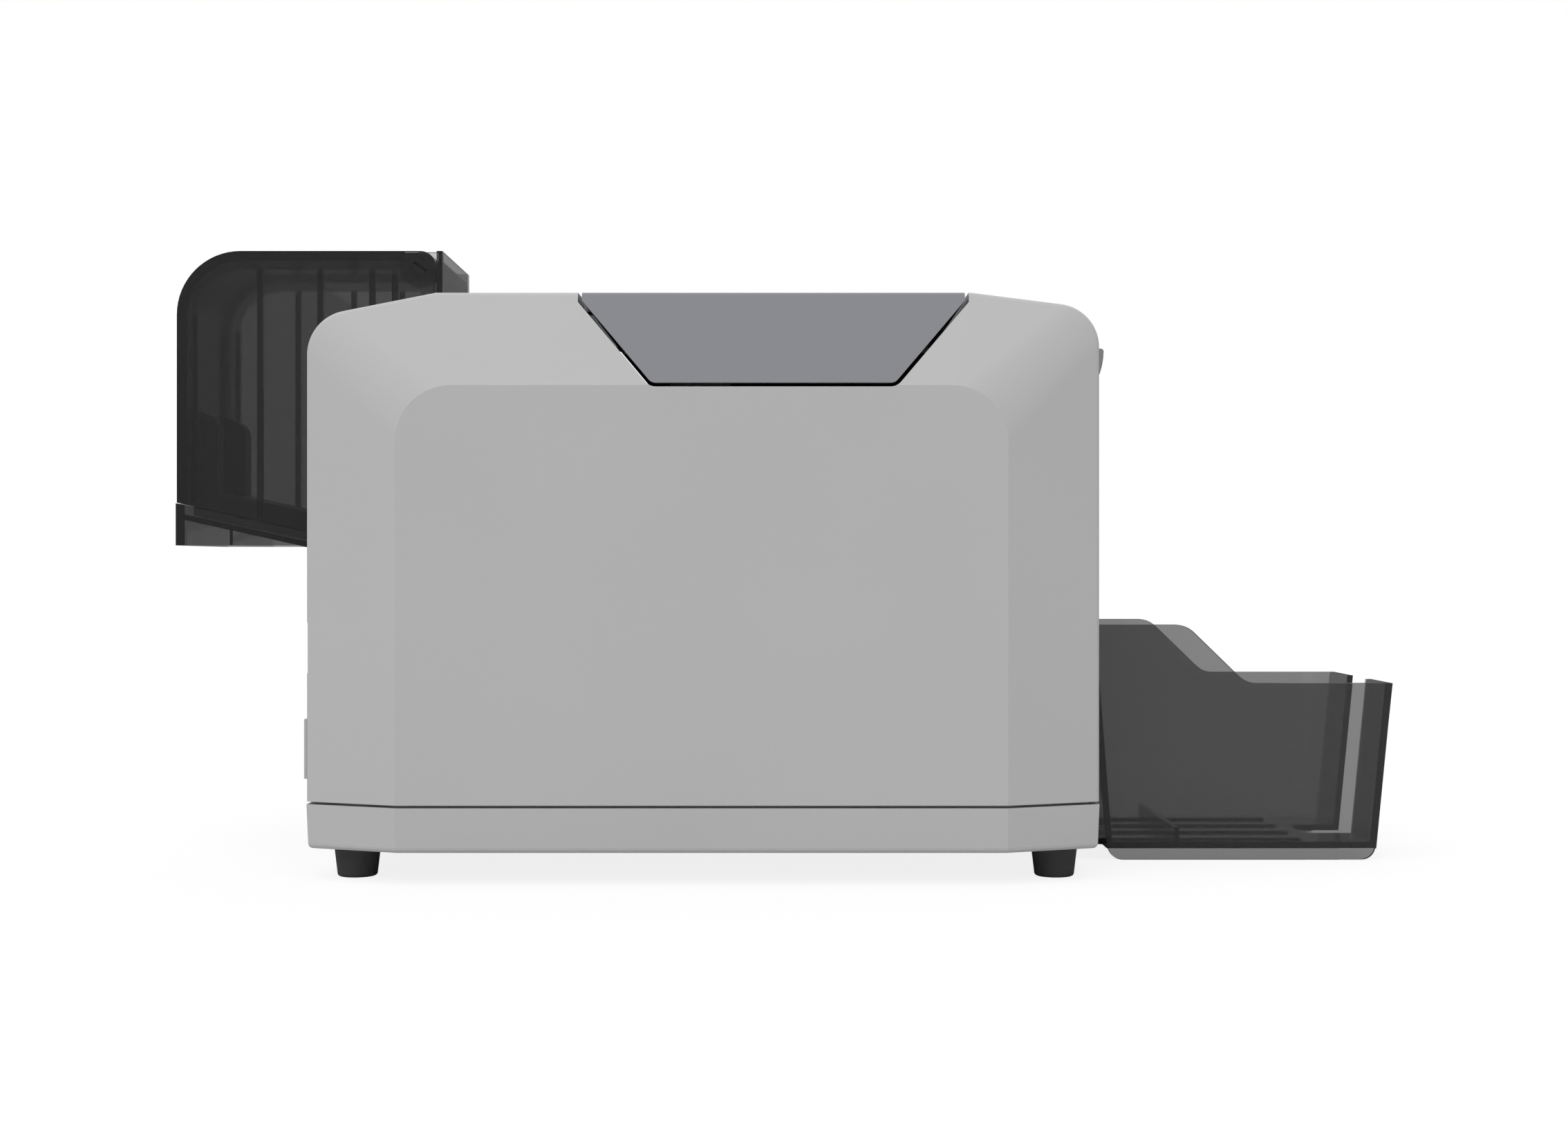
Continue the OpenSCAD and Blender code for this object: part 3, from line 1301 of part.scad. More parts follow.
module fan_rotor() {
    blades = 7;
    blade = [1, 7, 11];
    blade_mid = [4, 12];       // place of a blade's centre from the frame and from the axis
    pitch_a = 35;
    color([0.12, 0.12, 0.12]) {
        rod_x([fan_y, fan_z], hub_r, fan_x + 1, fan_x + fan_t - 3);
        rod_x([fan_y, fan_z], pin_r, fan_x + 2, fan_x + fan_t - fit);
        for (k = [0:blades - 1]) translate([fan_x + blade_mid[0], fan_y, fan_z])
            rotate([k * 360 / blades, 0, 0]) translate([0, 0, blade_mid[1]])
                rotate([0, 0, pitch_a]) cube(blade, center = true);
    }
}

// Controls at the front
module control_panel() {
    color([0.12, 0.12, 0.13]) difference() {
        block([x1 - panel_t, -panel_half, panel_z[0]], [x1, panel_half, panel_z[1]]);
        for (side = [-1, 1]) rod_x([side * button_y, button_z], button_r + fit, x1 - 2 * panel_t, x1 + over);
        block([x1 - 2 * panel_t, -display_half, display_z[0]], [x1 + over, display_half, display_z[1]]);
        for (i = [-1:1]) rod_x([i * light_pitch, button_z], light_r, x1 - 2 * panel_t, x1 + over);
    }
}

module display_window() {
    set_in = 0.2;
    color([0.05, 0.08, 0.1]) block([x1 - panel_t, -display_half, display_z[0]],
        [x1 - set_in, display_half, display_z[1]]);
}

module status_lights() {
    proud = 0.2;
    color([0.3, 0.8, 0.4]) for (i = [-1:1])
        rod_x([i * light_pitch, button_z], light_r, x1 - panel_t, x1 + proud);
}

module button(side) {
    proud = 0.8;
    flange = [2, 1.5];         // width and thickness of the flange behind the wall
    inner = x1 - wall - fit;
    color([0.6, 0.6, 0.6]) {
        rod_x([side * button_y, button_z], button_r, inner - over, x1 + proud);
        rod_x([side * button_y, button_z], button_r + flange[0], inner - flange[1], inner);
    }
}

base_pan();
housing();
lid();
foot(0);  // foot_rear_near
foot(1);  // foot_rear_far
foot(2);  // foot_front_near
foot(3);  // foot_front_far
base_screws();
lid_hinge_pins();
release_lever();
hopper_base();
hopper_cover();
hopper_pivot_pins();
card_weight();
output_hopper();
side_plate(-1);  // side_plate_near
side_plate(1);  // side_plate_far
tie_rods();
shaft_bushes();
card_rail(-1);  // card_rail_near
card_rail(1);  // card_rail_far
driven_roller(0);  // exit_roller
driven_roller(1);  // transport_roller
driven_roller(2);  // platen_roller
driven_roller(3);  // feed_roller
driven_roller(4);  // pick_roller
free_roller(0);  // exit_pinch_roller
free_roller(1);  // pinch_roller
free_roller(3);  // cleaning_roller
roller_gear(0);  // exit_gear
roller_gear(1);  // transport_gear
roller_gear(2);  // platen_gear
roller_gear(3);  // feed_gear
roller_gear(4);  // pick_gear
idler_gear(1);  // idler_gear_1
idler_gear(2);  // idler_gear_2
idler_gear(3);  // idler_gear_3
idler_gear(4);  // idler_gear_4
main_motor();
motor_pinion();
ribbon_motor();
spool(supply_at, supply_r);  // supply_spool
spool(takeup_at, takeup_r);  // takeup_spool
ribbon_film();
head_bracket();
printhead();
heat_sink();
main_board();
fan_frame();
fan_rotor();
power_inlet();
port(usb_at, 10, 8);  // usb_port
port(net_at, 12.6, 12);  // network_port
socket_frame(switch_at, 14, rocker_pin_r);  // switch_frame
power_rocker();
control_panel();
display_window();
status_lights();
button(-1);  // button_left
button(1);  // button_right
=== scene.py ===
"""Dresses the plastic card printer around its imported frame: studio, finishes and fine pieces."""

import json
import logging
import math
from collections.abc import Sequence
from dataclasses import dataclass, field
from enum import Enum
from typing import NamedTuple

import bmesh
import bpy
from mathutils import Matrix, Vector

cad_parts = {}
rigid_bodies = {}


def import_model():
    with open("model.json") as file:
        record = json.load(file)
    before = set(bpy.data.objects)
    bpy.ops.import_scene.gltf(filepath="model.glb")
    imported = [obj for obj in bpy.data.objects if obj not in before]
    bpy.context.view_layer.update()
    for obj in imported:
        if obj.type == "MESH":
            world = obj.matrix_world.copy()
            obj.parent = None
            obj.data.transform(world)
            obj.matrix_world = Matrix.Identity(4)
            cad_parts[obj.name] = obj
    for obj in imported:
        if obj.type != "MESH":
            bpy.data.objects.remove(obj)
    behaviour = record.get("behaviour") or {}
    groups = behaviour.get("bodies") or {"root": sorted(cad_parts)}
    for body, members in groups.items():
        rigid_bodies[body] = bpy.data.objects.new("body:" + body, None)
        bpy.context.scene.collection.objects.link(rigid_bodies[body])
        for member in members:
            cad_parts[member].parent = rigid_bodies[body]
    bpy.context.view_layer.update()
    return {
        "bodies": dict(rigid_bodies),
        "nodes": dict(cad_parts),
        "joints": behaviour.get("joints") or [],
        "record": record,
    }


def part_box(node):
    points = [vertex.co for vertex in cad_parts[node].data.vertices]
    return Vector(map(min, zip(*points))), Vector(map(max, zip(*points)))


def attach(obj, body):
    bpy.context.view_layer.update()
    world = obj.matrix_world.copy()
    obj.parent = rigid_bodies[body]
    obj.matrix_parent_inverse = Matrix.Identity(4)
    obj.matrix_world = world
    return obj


LOG = logging.getLogger("card_printer")
MM = 0.001
FORWARD = (1, 0, 0)
SIDEWAYS = (0, 1, 0)
UPWARD = (0, 0, 1)
DRIVEN_SHAFTS = ("pick", "feed", "platen", "transport", "exit")
IDLERS = range(1, 5)
Colour = tuple[float, float, float]
Point = Sequence[float] | Vector


def linear(grey: float) -> float:
    """One sRGB channel from 0 to 255 as a linear value."""
    share = grey / 255
    return share / 12.92 if share <= 0.04045 else ((share + 0.055) / 1.055) ** 2.4


def shade(red: float, green: float | None = None, blue: float | None = None) -> Colour:
    """A linear colour from sRGB channels from 0 to 255; one value alone is a grey."""
    return (
        linear(red),
        linear(red if green is None else green),
        linear(red if blue is None else blue),
    )


class NodeGraph:
    """Adds and links the nodes of one material, world or modifier."""

    NOISE_LOW = 0.3
    NOISE_HIGH = 0.7

    def __init__(self, tree: bpy.types.NodeTree) -> None:
        """Keeps the tree that the nodes go into.

        Args:
            tree: the node tree to add to.
        """
        self.tree = tree

    def add(self, kind: str, **settings: object) -> bpy.types.Node:
        """Adds a node.

        Args:
            kind: the node's type name.
            settings: attributes to set on it.

        Returns:
            The new node.
        """
        node = self.tree.nodes.new(kind)
        for name, value in settings.items():
            setattr(node, name, value)
        return node

    def link(self, source: bpy.types.NodeSocket, target: bpy.types.NodeSocket) -> None:
        """Links one socket to another."""
        self.tree.links.new(source, target)

    def noise(self, scale: float, detail: float = 2.0, rough: float = 0.5) -> bpy.types.NodeSocket:
        """A noise pattern in the object's own metres.

        Args:
            scale: the pattern's repeats per metre.
            detail: the number of finer layers.
            rough: the strength of the finer layers.

        Returns:
            The socket of the noise value.
        """
        place = self.add("ShaderNodeTexCoord")
        pattern = self.add("ShaderNodeTexNoise")
        pattern.inputs["Scale"].default_value = scale
        pattern.inputs["Detail"].default_value = detail
        pattern.inputs["Roughness"].default_value = rough
        self.link(place.outputs["Object"], pattern.inputs["Vector"])
        return pattern.outputs["Fac"]

    def spread(self, value: bpy.types.NodeSocket, low: float, high: float) -> bpy.types.NodeSocket:
        """Maps the middle of a noise value to the range from low to high.

        Args:
            value: the noise value.
            low: the result at the noise's usual low.
            high: the result at its usual high.

        Returns:
            The socket of the mapped value.
        """
        ramp = self.add("ShaderNodeMapRange")
        ramp.inputs["From Min"].default_value = self.NOISE_LOW
        ramp.inputs["From Max"].default_value = self.NOISE_HIGH
        ramp.inputs["To Min"].default_value = low
        ramp.inputs["To Max"].default_value = high
        self.link(value, ramp.inputs["Value"])
        return ramp.outputs["Result"]

    def blend(self, share: bpy.types.NodeSocket, a: Colour, b: Colour) -> bpy.types.NodeSocket:
        """Mixes two colours.

        Args:
            share: the socket that gives the share of b.
            a: the first colour.
            b: the second colour.

        Returns:
            The socket of the mixed colour.
        """
        mix = self.add("ShaderNodeMix", data_type="RGBA")
        mix.inputs["A"].default_value = (*a, 1)
        mix.inputs["B"].default_value = (*b, 1)
        self.link(share, mix.inputs["Factor"])
        return next(s for s in mix.outputs if s.type == "RGBA")

    def bump(self, height: bpy.types.NodeSocket, depth: float) -> bpy.types.NodeSocket:
        """A bump normal of a given depth in metres.

        Args:
            height: the socket of the height.
            depth: the distance of a height of 1.

        Returns:
            The socket of the bumped normal.
        """
        node = self.add("ShaderNodeBump")
        node.inputs["Distance"].default_value = depth
        self.link(height, node.inputs["Height"])
        return node.outputs["Normal"]


def new_material(name: str) -> tuple[bpy.types.Material, NodeGraph, bpy.types.Node]:
    """Makes a material with one Principled shader.

    Args:
        name: the material's name.

    Returns:
        The material, its graph and the Principled node.
    """
    material = bpy.data.materials.new(name)
    material.use_nodes = True
    graph = NodeGraph(material.node_tree)
    shader = next(n for n in material.node_tree.nodes if n.type == "BSDF_PRINCIPLED")
    return material, graph, shader


@dataclass(frozen=True)
class MouldedPlastic:
    """An opaque moulded plastic with a fine spark-eroded grain, whose sizes are in millimetres."""

    name: str
    colour: Colour
    roughness: float = 0.5
    grain: float = 0.35
    depth: float = 0.012
    mottle: float = 0.01
    uneven: float = 0.06
    patches_per_metre: float = 18
    patch_detail: float = 3
    grain_detail: float = 2
    grain_rough: float = 0.6

    def build(self) -> bpy.types.Material:
        """Makes the material.

        Returns:
            The new material.
        """
        material, graph, shader = new_material(self.name)
        wide = graph.noise(self.patches_per_metre, self.patch_detail)
        fine = graph.noise(1 / (self.grain * MM), self.grain_detail, self.grain_rough)
        low = tuple(c * (1 - self.mottle) for c in self.colour)
        high = tuple(min(1, c * (1 + self.mottle)) for c in self.colour)
        graph.link(graph.blend(graph.spread(wide, 0, 1), low, high), shader.inputs["Base Color"])
        sheen = graph.spread(fine, self.roughness - self.uneven, self.roughness + self.uneven)
        graph.link(sheen, shader.inputs["Roughness"])
        graph.link(graph.bump(fine, self.depth * MM), shader.inputs["Normal"])
        return material


@dataclass(frozen=True)
class SmokedClear:
    """Clear plastic with a black smoke tint, which darkens with thickness."""

    name: str
    density: float
    tint: Colour = (0, 0, 0)
    haze: float = 0.025
    roughness: float = 0.0
    index: float = 1.32
    waves_per_metre: float = 25
    wave_detail: float = 1
    wave_depth: float = 0.01

    def build(self) -> bpy.types.Material:
        """Makes the material.

        Returns:
            The new material.
        """
        material, graph, shader = new_material(self.name)
        shader.inputs["Base Color"].default_value = (1, 1, 1, 1)
        shader.inputs["Transmission Weight"].default_value = 1 - self.haze
        shader.inputs["IOR"].default_value = self.index
        shader.inputs["Roughness"].default_value = self.roughness
        waves = graph.noise(self.waves_per_metre, self.wave_detail)
        graph.link(graph.bump(waves, self.wave_depth * MM), shader.inputs["Normal"])
        smoke = graph.add("ShaderNodeVolumeAbsorption")
        smoke.inputs["Color"].default_value = (*self.tint, 1)
        smoke.inputs["Density"].default_value = self.density
        output = next(n for n in material.node_tree.nodes if n.type == "OUTPUT_MATERIAL")
        graph.link(smoke.outputs["Volume"], output.inputs["Volume"])
        return material


@dataclass(frozen=True)
class BandedFilm:
    """The dye ribbon: a thin film with yellow, magenta, cyan, black and clear panels in turn."""

    name: str
    panel: float = 24.0
    roughness: float = 0.2
    dyes: tuple[Colour, ...] = (
        (0.75, 0.55, 0.03),
        (0.55, 0.02, 0.16),
        (0.02, 0.2, 0.5),
        (0.01, 0.01, 0.012),
        (0.5, 0.5, 0.5),
    )

    def build(self) -> bpy.types.Material:
        """Makes the material.

        Returns:
            The new material.
        """
        material, graph, shader = new_material(self.name)
        place = graph.add("ShaderNodeTexCoord")
        axes = graph.add("ShaderNodeSeparateXYZ")
        turns = graph.add("ShaderNodeMath", operation="MULTIPLY")
        turns.inputs[1].default_value = 1 / (self.panel * MM * len(self.dyes))
        part = graph.add("ShaderNodeMath", operation="FRACT")
        ramp = graph.add("ShaderNodeValToRGB")
        ramp.color_ramp.interpolation = "CONSTANT"
        stops = ramp.color_ramp.elements
        while len(stops) < len(self.dyes):
            stops.new(0.5)
        for count, dye in enumerate(self.dyes):
            stops[count].position = count / len(self.dyes)
            stops[count].color = (*dye, 1)
        graph.link(place.outputs["Object"], axes.inputs[0])
        graph.link(axes.outputs["X"], turns.inputs[0])
        graph.link(turns.outputs[0], part.inputs[0])
        graph.link(part.outputs[0], ramp.inputs["Fac"])
        graph.link(ramp.outputs["Color"], shader.inputs["Base Color"])
        shader.inputs["Roughness"].default_value = self.roughness
        return material


@dataclass(frozen=True)
class BareMetal:
    """A bare metal with a fine, faint grain."""

    name: str
    colour: Colour
    roughness: float = 0.3
    metallic: float = 0.65
    grains_per_metre: float = 900
    dull: float = 0.05
    uneven: float = 0.02

    def build(self) -> bpy.types.Material:
        """Makes the material.

        Returns:
            The new material.
        """
        material, graph, shader = new_material(self.name)
        grain = graph.noise(self.grains_per_metre)
        dark = tuple(c * (1 - self.dull) for c in self.colour)
        tone = graph.blend(graph.spread(grain, 0, 1), dark, self.colour)
        graph.link(tone, shader.inputs["Base Color"])
        shader.inputs["Metallic"].default_value = self.metallic
        sheen = graph.spread(grain, self.roughness - self.uneven, self.roughness + self.uneven)
        graph.link(sheen, shader.inputs["Roughness"])
        return material


@dataclass(frozen=True)
class SmoothEdges:
    """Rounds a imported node's edges and shades its curved faces smoothly, by modifiers alone.

    The radius and the weld distance are in millimetres, and the angles are in degrees.
    """

    radius: float
    weld: float = 0.004
    crease: float = 6.6
    edge: float = 28
    steps: int = 2
    flat: float = 0.8

    def apply(self, piece: bpy.types.Object) -> None:
        """Adds the modifiers to a piece.

        Args:
            piece: the object to soften.
        """
        weld = piece.modifiers.new("weld", "WELD")
        weld.merge_threshold = self.weld * MM
        flat = piece.modifiers.new("flat faces", "DECIMATE")
        flat.decimate_type = "DISSOLVE"
        flat.angle_limit = math.radians(self.flat)
        if self.radius:
            bevel = piece.modifiers.new("moulded edges", "BEVEL")
            bevel.limit_method = "ANGLE"
            bevel.angle_limit = math.radians(self.edge)
            bevel.width = self.radius * MM
            bevel.segments = self.steps
        smooth = piece.modifiers.new("smooth faces", "NODES")
        smooth.node_group = smooth_by_angle(self.crease)
        normals = piece.modifiers.new("even light", "WEIGHTED_NORMAL")
        normals.keep_sharp = True


def smooth_by_angle(degrees: float) -> bpy.types.NodeTree:
    """A modifier tree that shades faces smoothly and keeps the edges sharper than an angle.

    Args:
        degrees: the angle above which an edge stays sharp.

    Returns:
        The node tree, made once for each angle.
    """
    name = f"smooth below {degrees:g} degrees"
    if name in bpy.data.node_groups:
        return bpy.data.node_groups[name]
    tree = bpy.data.node_groups.new(name, "GeometryNodeTree")
    tree.interface.new_socket("Geometry", in_out="INPUT", socket_type="NodeSocketGeometry")
    tree.interface.new_socket("Geometry", in_out="OUTPUT", socket_type="NodeSocketGeometry")
    graph = NodeGraph(tree)
    source = graph.add("NodeGroupInput")
    result = graph.add("NodeGroupOutput")
    angle = graph.add("GeometryNodeInputMeshEdgeAngle")
    sharp = graph.add("FunctionNodeCompare", data_type="FLOAT", operation="GREATER_THAN")
    sharp.inputs["B"].default_value = math.radians(degrees)
    faces = graph.add("GeometryNodeSetShadeSmooth", domain="FACE")
    edges = graph.add("GeometryNodeSetShadeSmooth", domain="EDGE")
    faces.inputs["Shade Smooth"].default_value = True
    edges.inputs["Shade Smooth"].default_value = False
    graph.link(angle.outputs["Unsigned Angle"], sharp.inputs["A"])
    graph.link(source.outputs[0], faces.inputs[0])
    graph.link(faces.outputs[0], edges.inputs[0])
    graph.link(sharp.outputs["Result"], edges.inputs["Selection"])
    graph.link(edges.outputs[0], result.inputs[0])
    return tree


@dataclass(frozen=True)
class Lamp:
    """One large, soft lamp, far from the printer."""

    name: str
    side: Point
    spread: float
    power: float
    distance: float = 2000.0

    def build(self) -> None:
        """Hangs the lamp on its side of the printer, facing it."""
        data = bpy.data.lights.new(self.name, "SUN")
        data.angle = math.radians(self.spread)
        data.energy = self.power
        lamp = bpy.data.objects.new(self.name, data)
        lamp.location = Vector(self.side).normalized() * self.distance * MM
        lamp.rotation_mode = "QUATERNION"
        lamp.rotation_quaternion = (-Vector(self.side)).to_track_quat("-Z", "Y")
        lamp.visible_glossy = False
        bpy.context.scene.collection.objects.link(lamp)


@dataclass
class Studio:
    """The camera, the light tent with its lamps, and the pale floor."""

    eye: tuple[float, float, float] = (1.05, -779.0, 105.9)
    nearest: float = 10.0
    farthest: float = 50000.0
    lens: float = 47.46
    sensor: float = 36.0
    tent_level: float = 0.36
    tent_overhead: float = 0.5
    tent_left: float = 0.14
    lamps: tuple[Lamp, ...] = (
        Lamp("soft lamp at the front", (-0.33, -0.82, 1.3), spread=70, power=1.85),
        Lamp("soft lamp at the rear", (0.3, 1, 0.8), spread=80, power=0.7),
    )
    floor_half: float = 6000.0
    floor_colour: Colour = field(default_factory=lambda: shade(203))
    floor_seen: Colour = field(default_factory=lambda: shade(248))
    floor_glow: float = 0.85
    wall_glow: float = 0.13
    top_glow: float = 1.0

    def camera(self) -> None:
        """Places the camera level, in front of the side panel."""
        data = bpy.data.cameras.new("camera")
        data.lens = self.lens
        data.sensor_width = self.sensor
        data.sensor_fit = "HORIZONTAL"
        data.clip_start = self.nearest * MM
        data.clip_end = self.farthest * MM
        data.dof.use_dof = False
        camera = bpy.data.objects.new("camera", data)
        camera.location = Vector(self.eye) * MM
        camera.rotation_euler = (math.radians(90), 0, 0)
        bpy.context.scene.collection.objects.link(camera)
        bpy.context.scene.camera = camera

    def background_rays(self, graph: NodeGraph) -> bpy.types.NodeSocket:
        """The share of rays that see the white background instead of the light.

        Args:
            graph: the graph of the world or floor.

        Returns:
            A socket that is 1 for camera and transmission rays.
        """
        path = graph.add("ShaderNodeLightPath")
        both = graph.add("ShaderNodeMath", operation="ADD", use_clamp=True)
        graph.link(path.outputs["Is Camera Ray"], both.inputs[0])
        graph.link(path.outputs["Is Transmission Ray"], both.inputs[1])
        return both.outputs[0]

    def mirrored(self, graph: NodeGraph, light: bpy.types.Node) -> bpy.types.Node:
        """Swaps the tent's light for the dim walls and bright top that shiny faces mirror.

        Args:
            graph: the world's graph.
            light: the background node that lights matt faces.

        Returns:
            The shader node that joins both.
        """
        place = graph.add("ShaderNodeTexCoord")
        axes = graph.add("ShaderNodeSeparateXYZ")
        height = graph.add("ShaderNodeMapRange")
        height.inputs["To Min"].default_value = self.wall_glow
        height.inputs["To Max"].default_value = self.top_glow
        glow = graph.add("ShaderNodeBackground")
        path = graph.add("ShaderNodeLightPath")
        choice = graph.add("ShaderNodeMixShader")
        graph.link(place.outputs["Generated"], axes.inputs[0])
        graph.link(axes.outputs["Z"], height.inputs["Value"])
        graph.link(height.outputs["Result"], glow.inputs["Strength"])
        graph.link(path.outputs["Is Glossy Ray"], choice.inputs[0])
        graph.link(light.outputs[0], choice.inputs[1])
        graph.link(glow.outputs[0], choice.inputs[2])
        return choice

    def world(self) -> None:
        """Makes the light tent: even light that grows towards the top and the left."""
        world = bpy.data.worlds.new("light tent")
        bpy.context.scene.world = world
        world.use_nodes = True
        graph = NodeGraph(world.node_tree)
        world.node_tree.nodes.clear()
        place = graph.add("ShaderNodeTexCoord")
        slope = graph.add("ShaderNodeVectorMath", operation="DOT_PRODUCT")
        slope.inputs[1].default_value = (-self.tent_left, 0, self.tent_overhead)
        level = graph.add("ShaderNodeMath", operation="ADD")
        level.inputs[1].default_value = self.tent_level
        light = graph.add("ShaderNodeBackground")
        white = graph.add("ShaderNodeBackground")
        white.inputs["Color"].default_value = (1, 1, 1, 1)
        choice = graph.add("ShaderNodeMixShader")
        output = graph.add("ShaderNodeOutputWorld")
        graph.link(place.outputs["Generated"], slope.inputs[0])
        graph.link(slope.outputs["Value"], level.inputs[0])
        graph.link(level.outputs[0], light.inputs["Strength"])
        graph.link(self.background_rays(graph), choice.inputs[0])
        graph.link(self.mirrored(graph, light).outputs[0], choice.inputs[1])
        graph.link(white.outputs[0], choice.inputs[2])
        graph.link(choice.outputs[0], output.inputs["Surface"])

    def floor(self) -> None:
        """Lays the pale floor, white to the camera where no shadow falls."""
        mesh = bpy.data.meshes.new("floor")
        half = self.floor_half * MM
        corners = [(-half, -half, 0), (half, -half, 0), (half, half, 0), (-half, half, 0)]
        mesh.from_pydata(corners, [], [(0, 1, 2, 3)])
        floor = bpy.data.objects.new("floor", mesh)
        bpy.context.scene.collection.objects.link(floor)
        material, graph, shader = new_material("pale floor")
        output = next(n for n in material.node_tree.nodes if n.type == "OUTPUT_MATERIAL")
        seen = self.background_rays(graph)
        graph.link(graph.blend(seen, self.floor_colour, self.floor_seen), shader.inputs["Base Color"])
        shader.inputs["Roughness"].default_value = 1
        shader.inputs["Specular IOR Level"].default_value = 0
        glow = graph.add("ShaderNodeEmission")
        share = graph.add("ShaderNodeMath", operation="MULTIPLY")
        share.inputs[1].default_value = self.floor_glow
        choice = graph.add("ShaderNodeMixShader")
        graph.link(seen, share.inputs[0])
        graph.link(share.outputs[0], choice.inputs[0])
        graph.link(shader.outputs[0], choice.inputs[1])
        graph.link(glow.outputs[0], choice.inputs[2])
        graph.link(choice.outputs[0], output.inputs["Surface"])
        mesh.materials.append(material)

    def build(self) -> None:
        """Makes the whole studio."""
        scene = bpy.context.scene
        scene.view_settings.view_transform = "Standard"
        self.camera()
        self.world()
        for lamp in self.lamps:
            lamp.build()
        self.floor()


class Finish(Enum):
    """The printer's finishes."""

    HOUSING = MouldedPlastic("housing grey", shade(185), 0.52)
    LID = MouldedPlastic("lid grey", shade(130, 131, 136), 0.5)
    LEVER = MouldedPlastic("lever grey", shade(134), 0.5)
    BUTTON = MouldedPlastic("button grey", shade(165), 0.45)
    FRAME = MouldedPlastic("socket grey", shade(178), 0.5)
    DARK = MouldedPlastic("dark plastic", shade(44), 0.45)
    BLACK = MouldedPlastic("black plastic", shade(30), 0.4)
    RUBBER = MouldedPlastic("black rubber", shade(63), 0.75, grain=0.5, depth=0.02, mottle=0.08)
    ROLLER = MouldedPlastic(
        "roller rubber", shade(52, 52, 54), 0.7, grain=0.25, depth=0.02, mottle=0.06
    )
    GEAR = MouldedPlastic("gear plastic", shade(226, 225, 216), 0.38)
    SMOKE = SmokedClear("smoke plastic", 710)
    SMOKE_DEEP = SmokedClear("deep smoke plastic", 1030)
    SMOKE_BASE = SmokedClear("light smoke plastic", 470)
    STEEL = BareMetal("zinc steel", (0.62, 0.63, 0.65), 0.33)
    SHAFT = BareMetal("ground steel", (0.66, 0.66, 0.68), 0.2)
    BRONZE = BareMetal("bronze", (0.72, 0.5, 0.25), 0.3)
    ALUMINIUM = BareMetal("aluminium", (0.75, 0.76, 0.77), 0.35)
    FILM = BandedFilm("ribbon film")
    ROLL = MouldedPlastic("wound film", (0.16, 0.012, 0.06), 0.25, mottle=0.1)
    MARK = MouldedPlastic("white print", shade(225), 0.6)
    SCREEN = MouldedPlastic("screen marks", shade(150, 190, 205), 0.4)
    GOLD = BareMetal("gold contacts", (0.85, 0.62, 0.25), 0.25)
    WHITE = MouldedPlastic("white nylon", shade(225, 223, 214), 0.45)
    WIRE_RED = MouldedPlastic("red wire", shade(165, 30, 28), 0.4)
    BOARD = MouldedPlastic("board green", (0.01, 0.12, 0.05), 0.4)
    GLASS = MouldedPlastic("display glass", (0.01, 0.014, 0.02), 0.12)
    LIGHT = MouldedPlastic("light green", (0.06, 0.5, 0.12), 0.3)
    MOTOR = BareMetal("motor steel", (0.4, 0.4, 0.42), 0.35)

    @property
    def material(self) -> bpy.types.Material:
        """The finish's material, made when it is first used."""
        known = bpy.data.materials.get(self.value.name)
        return known or self.value.build()


def dress(node: bpy.types.Object, finish: Finish) -> None:
    """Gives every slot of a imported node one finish.

    Args:
        node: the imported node.
        finish: its finish.
    """
    for slot in node.material_slots:
        slot.material = finish.material


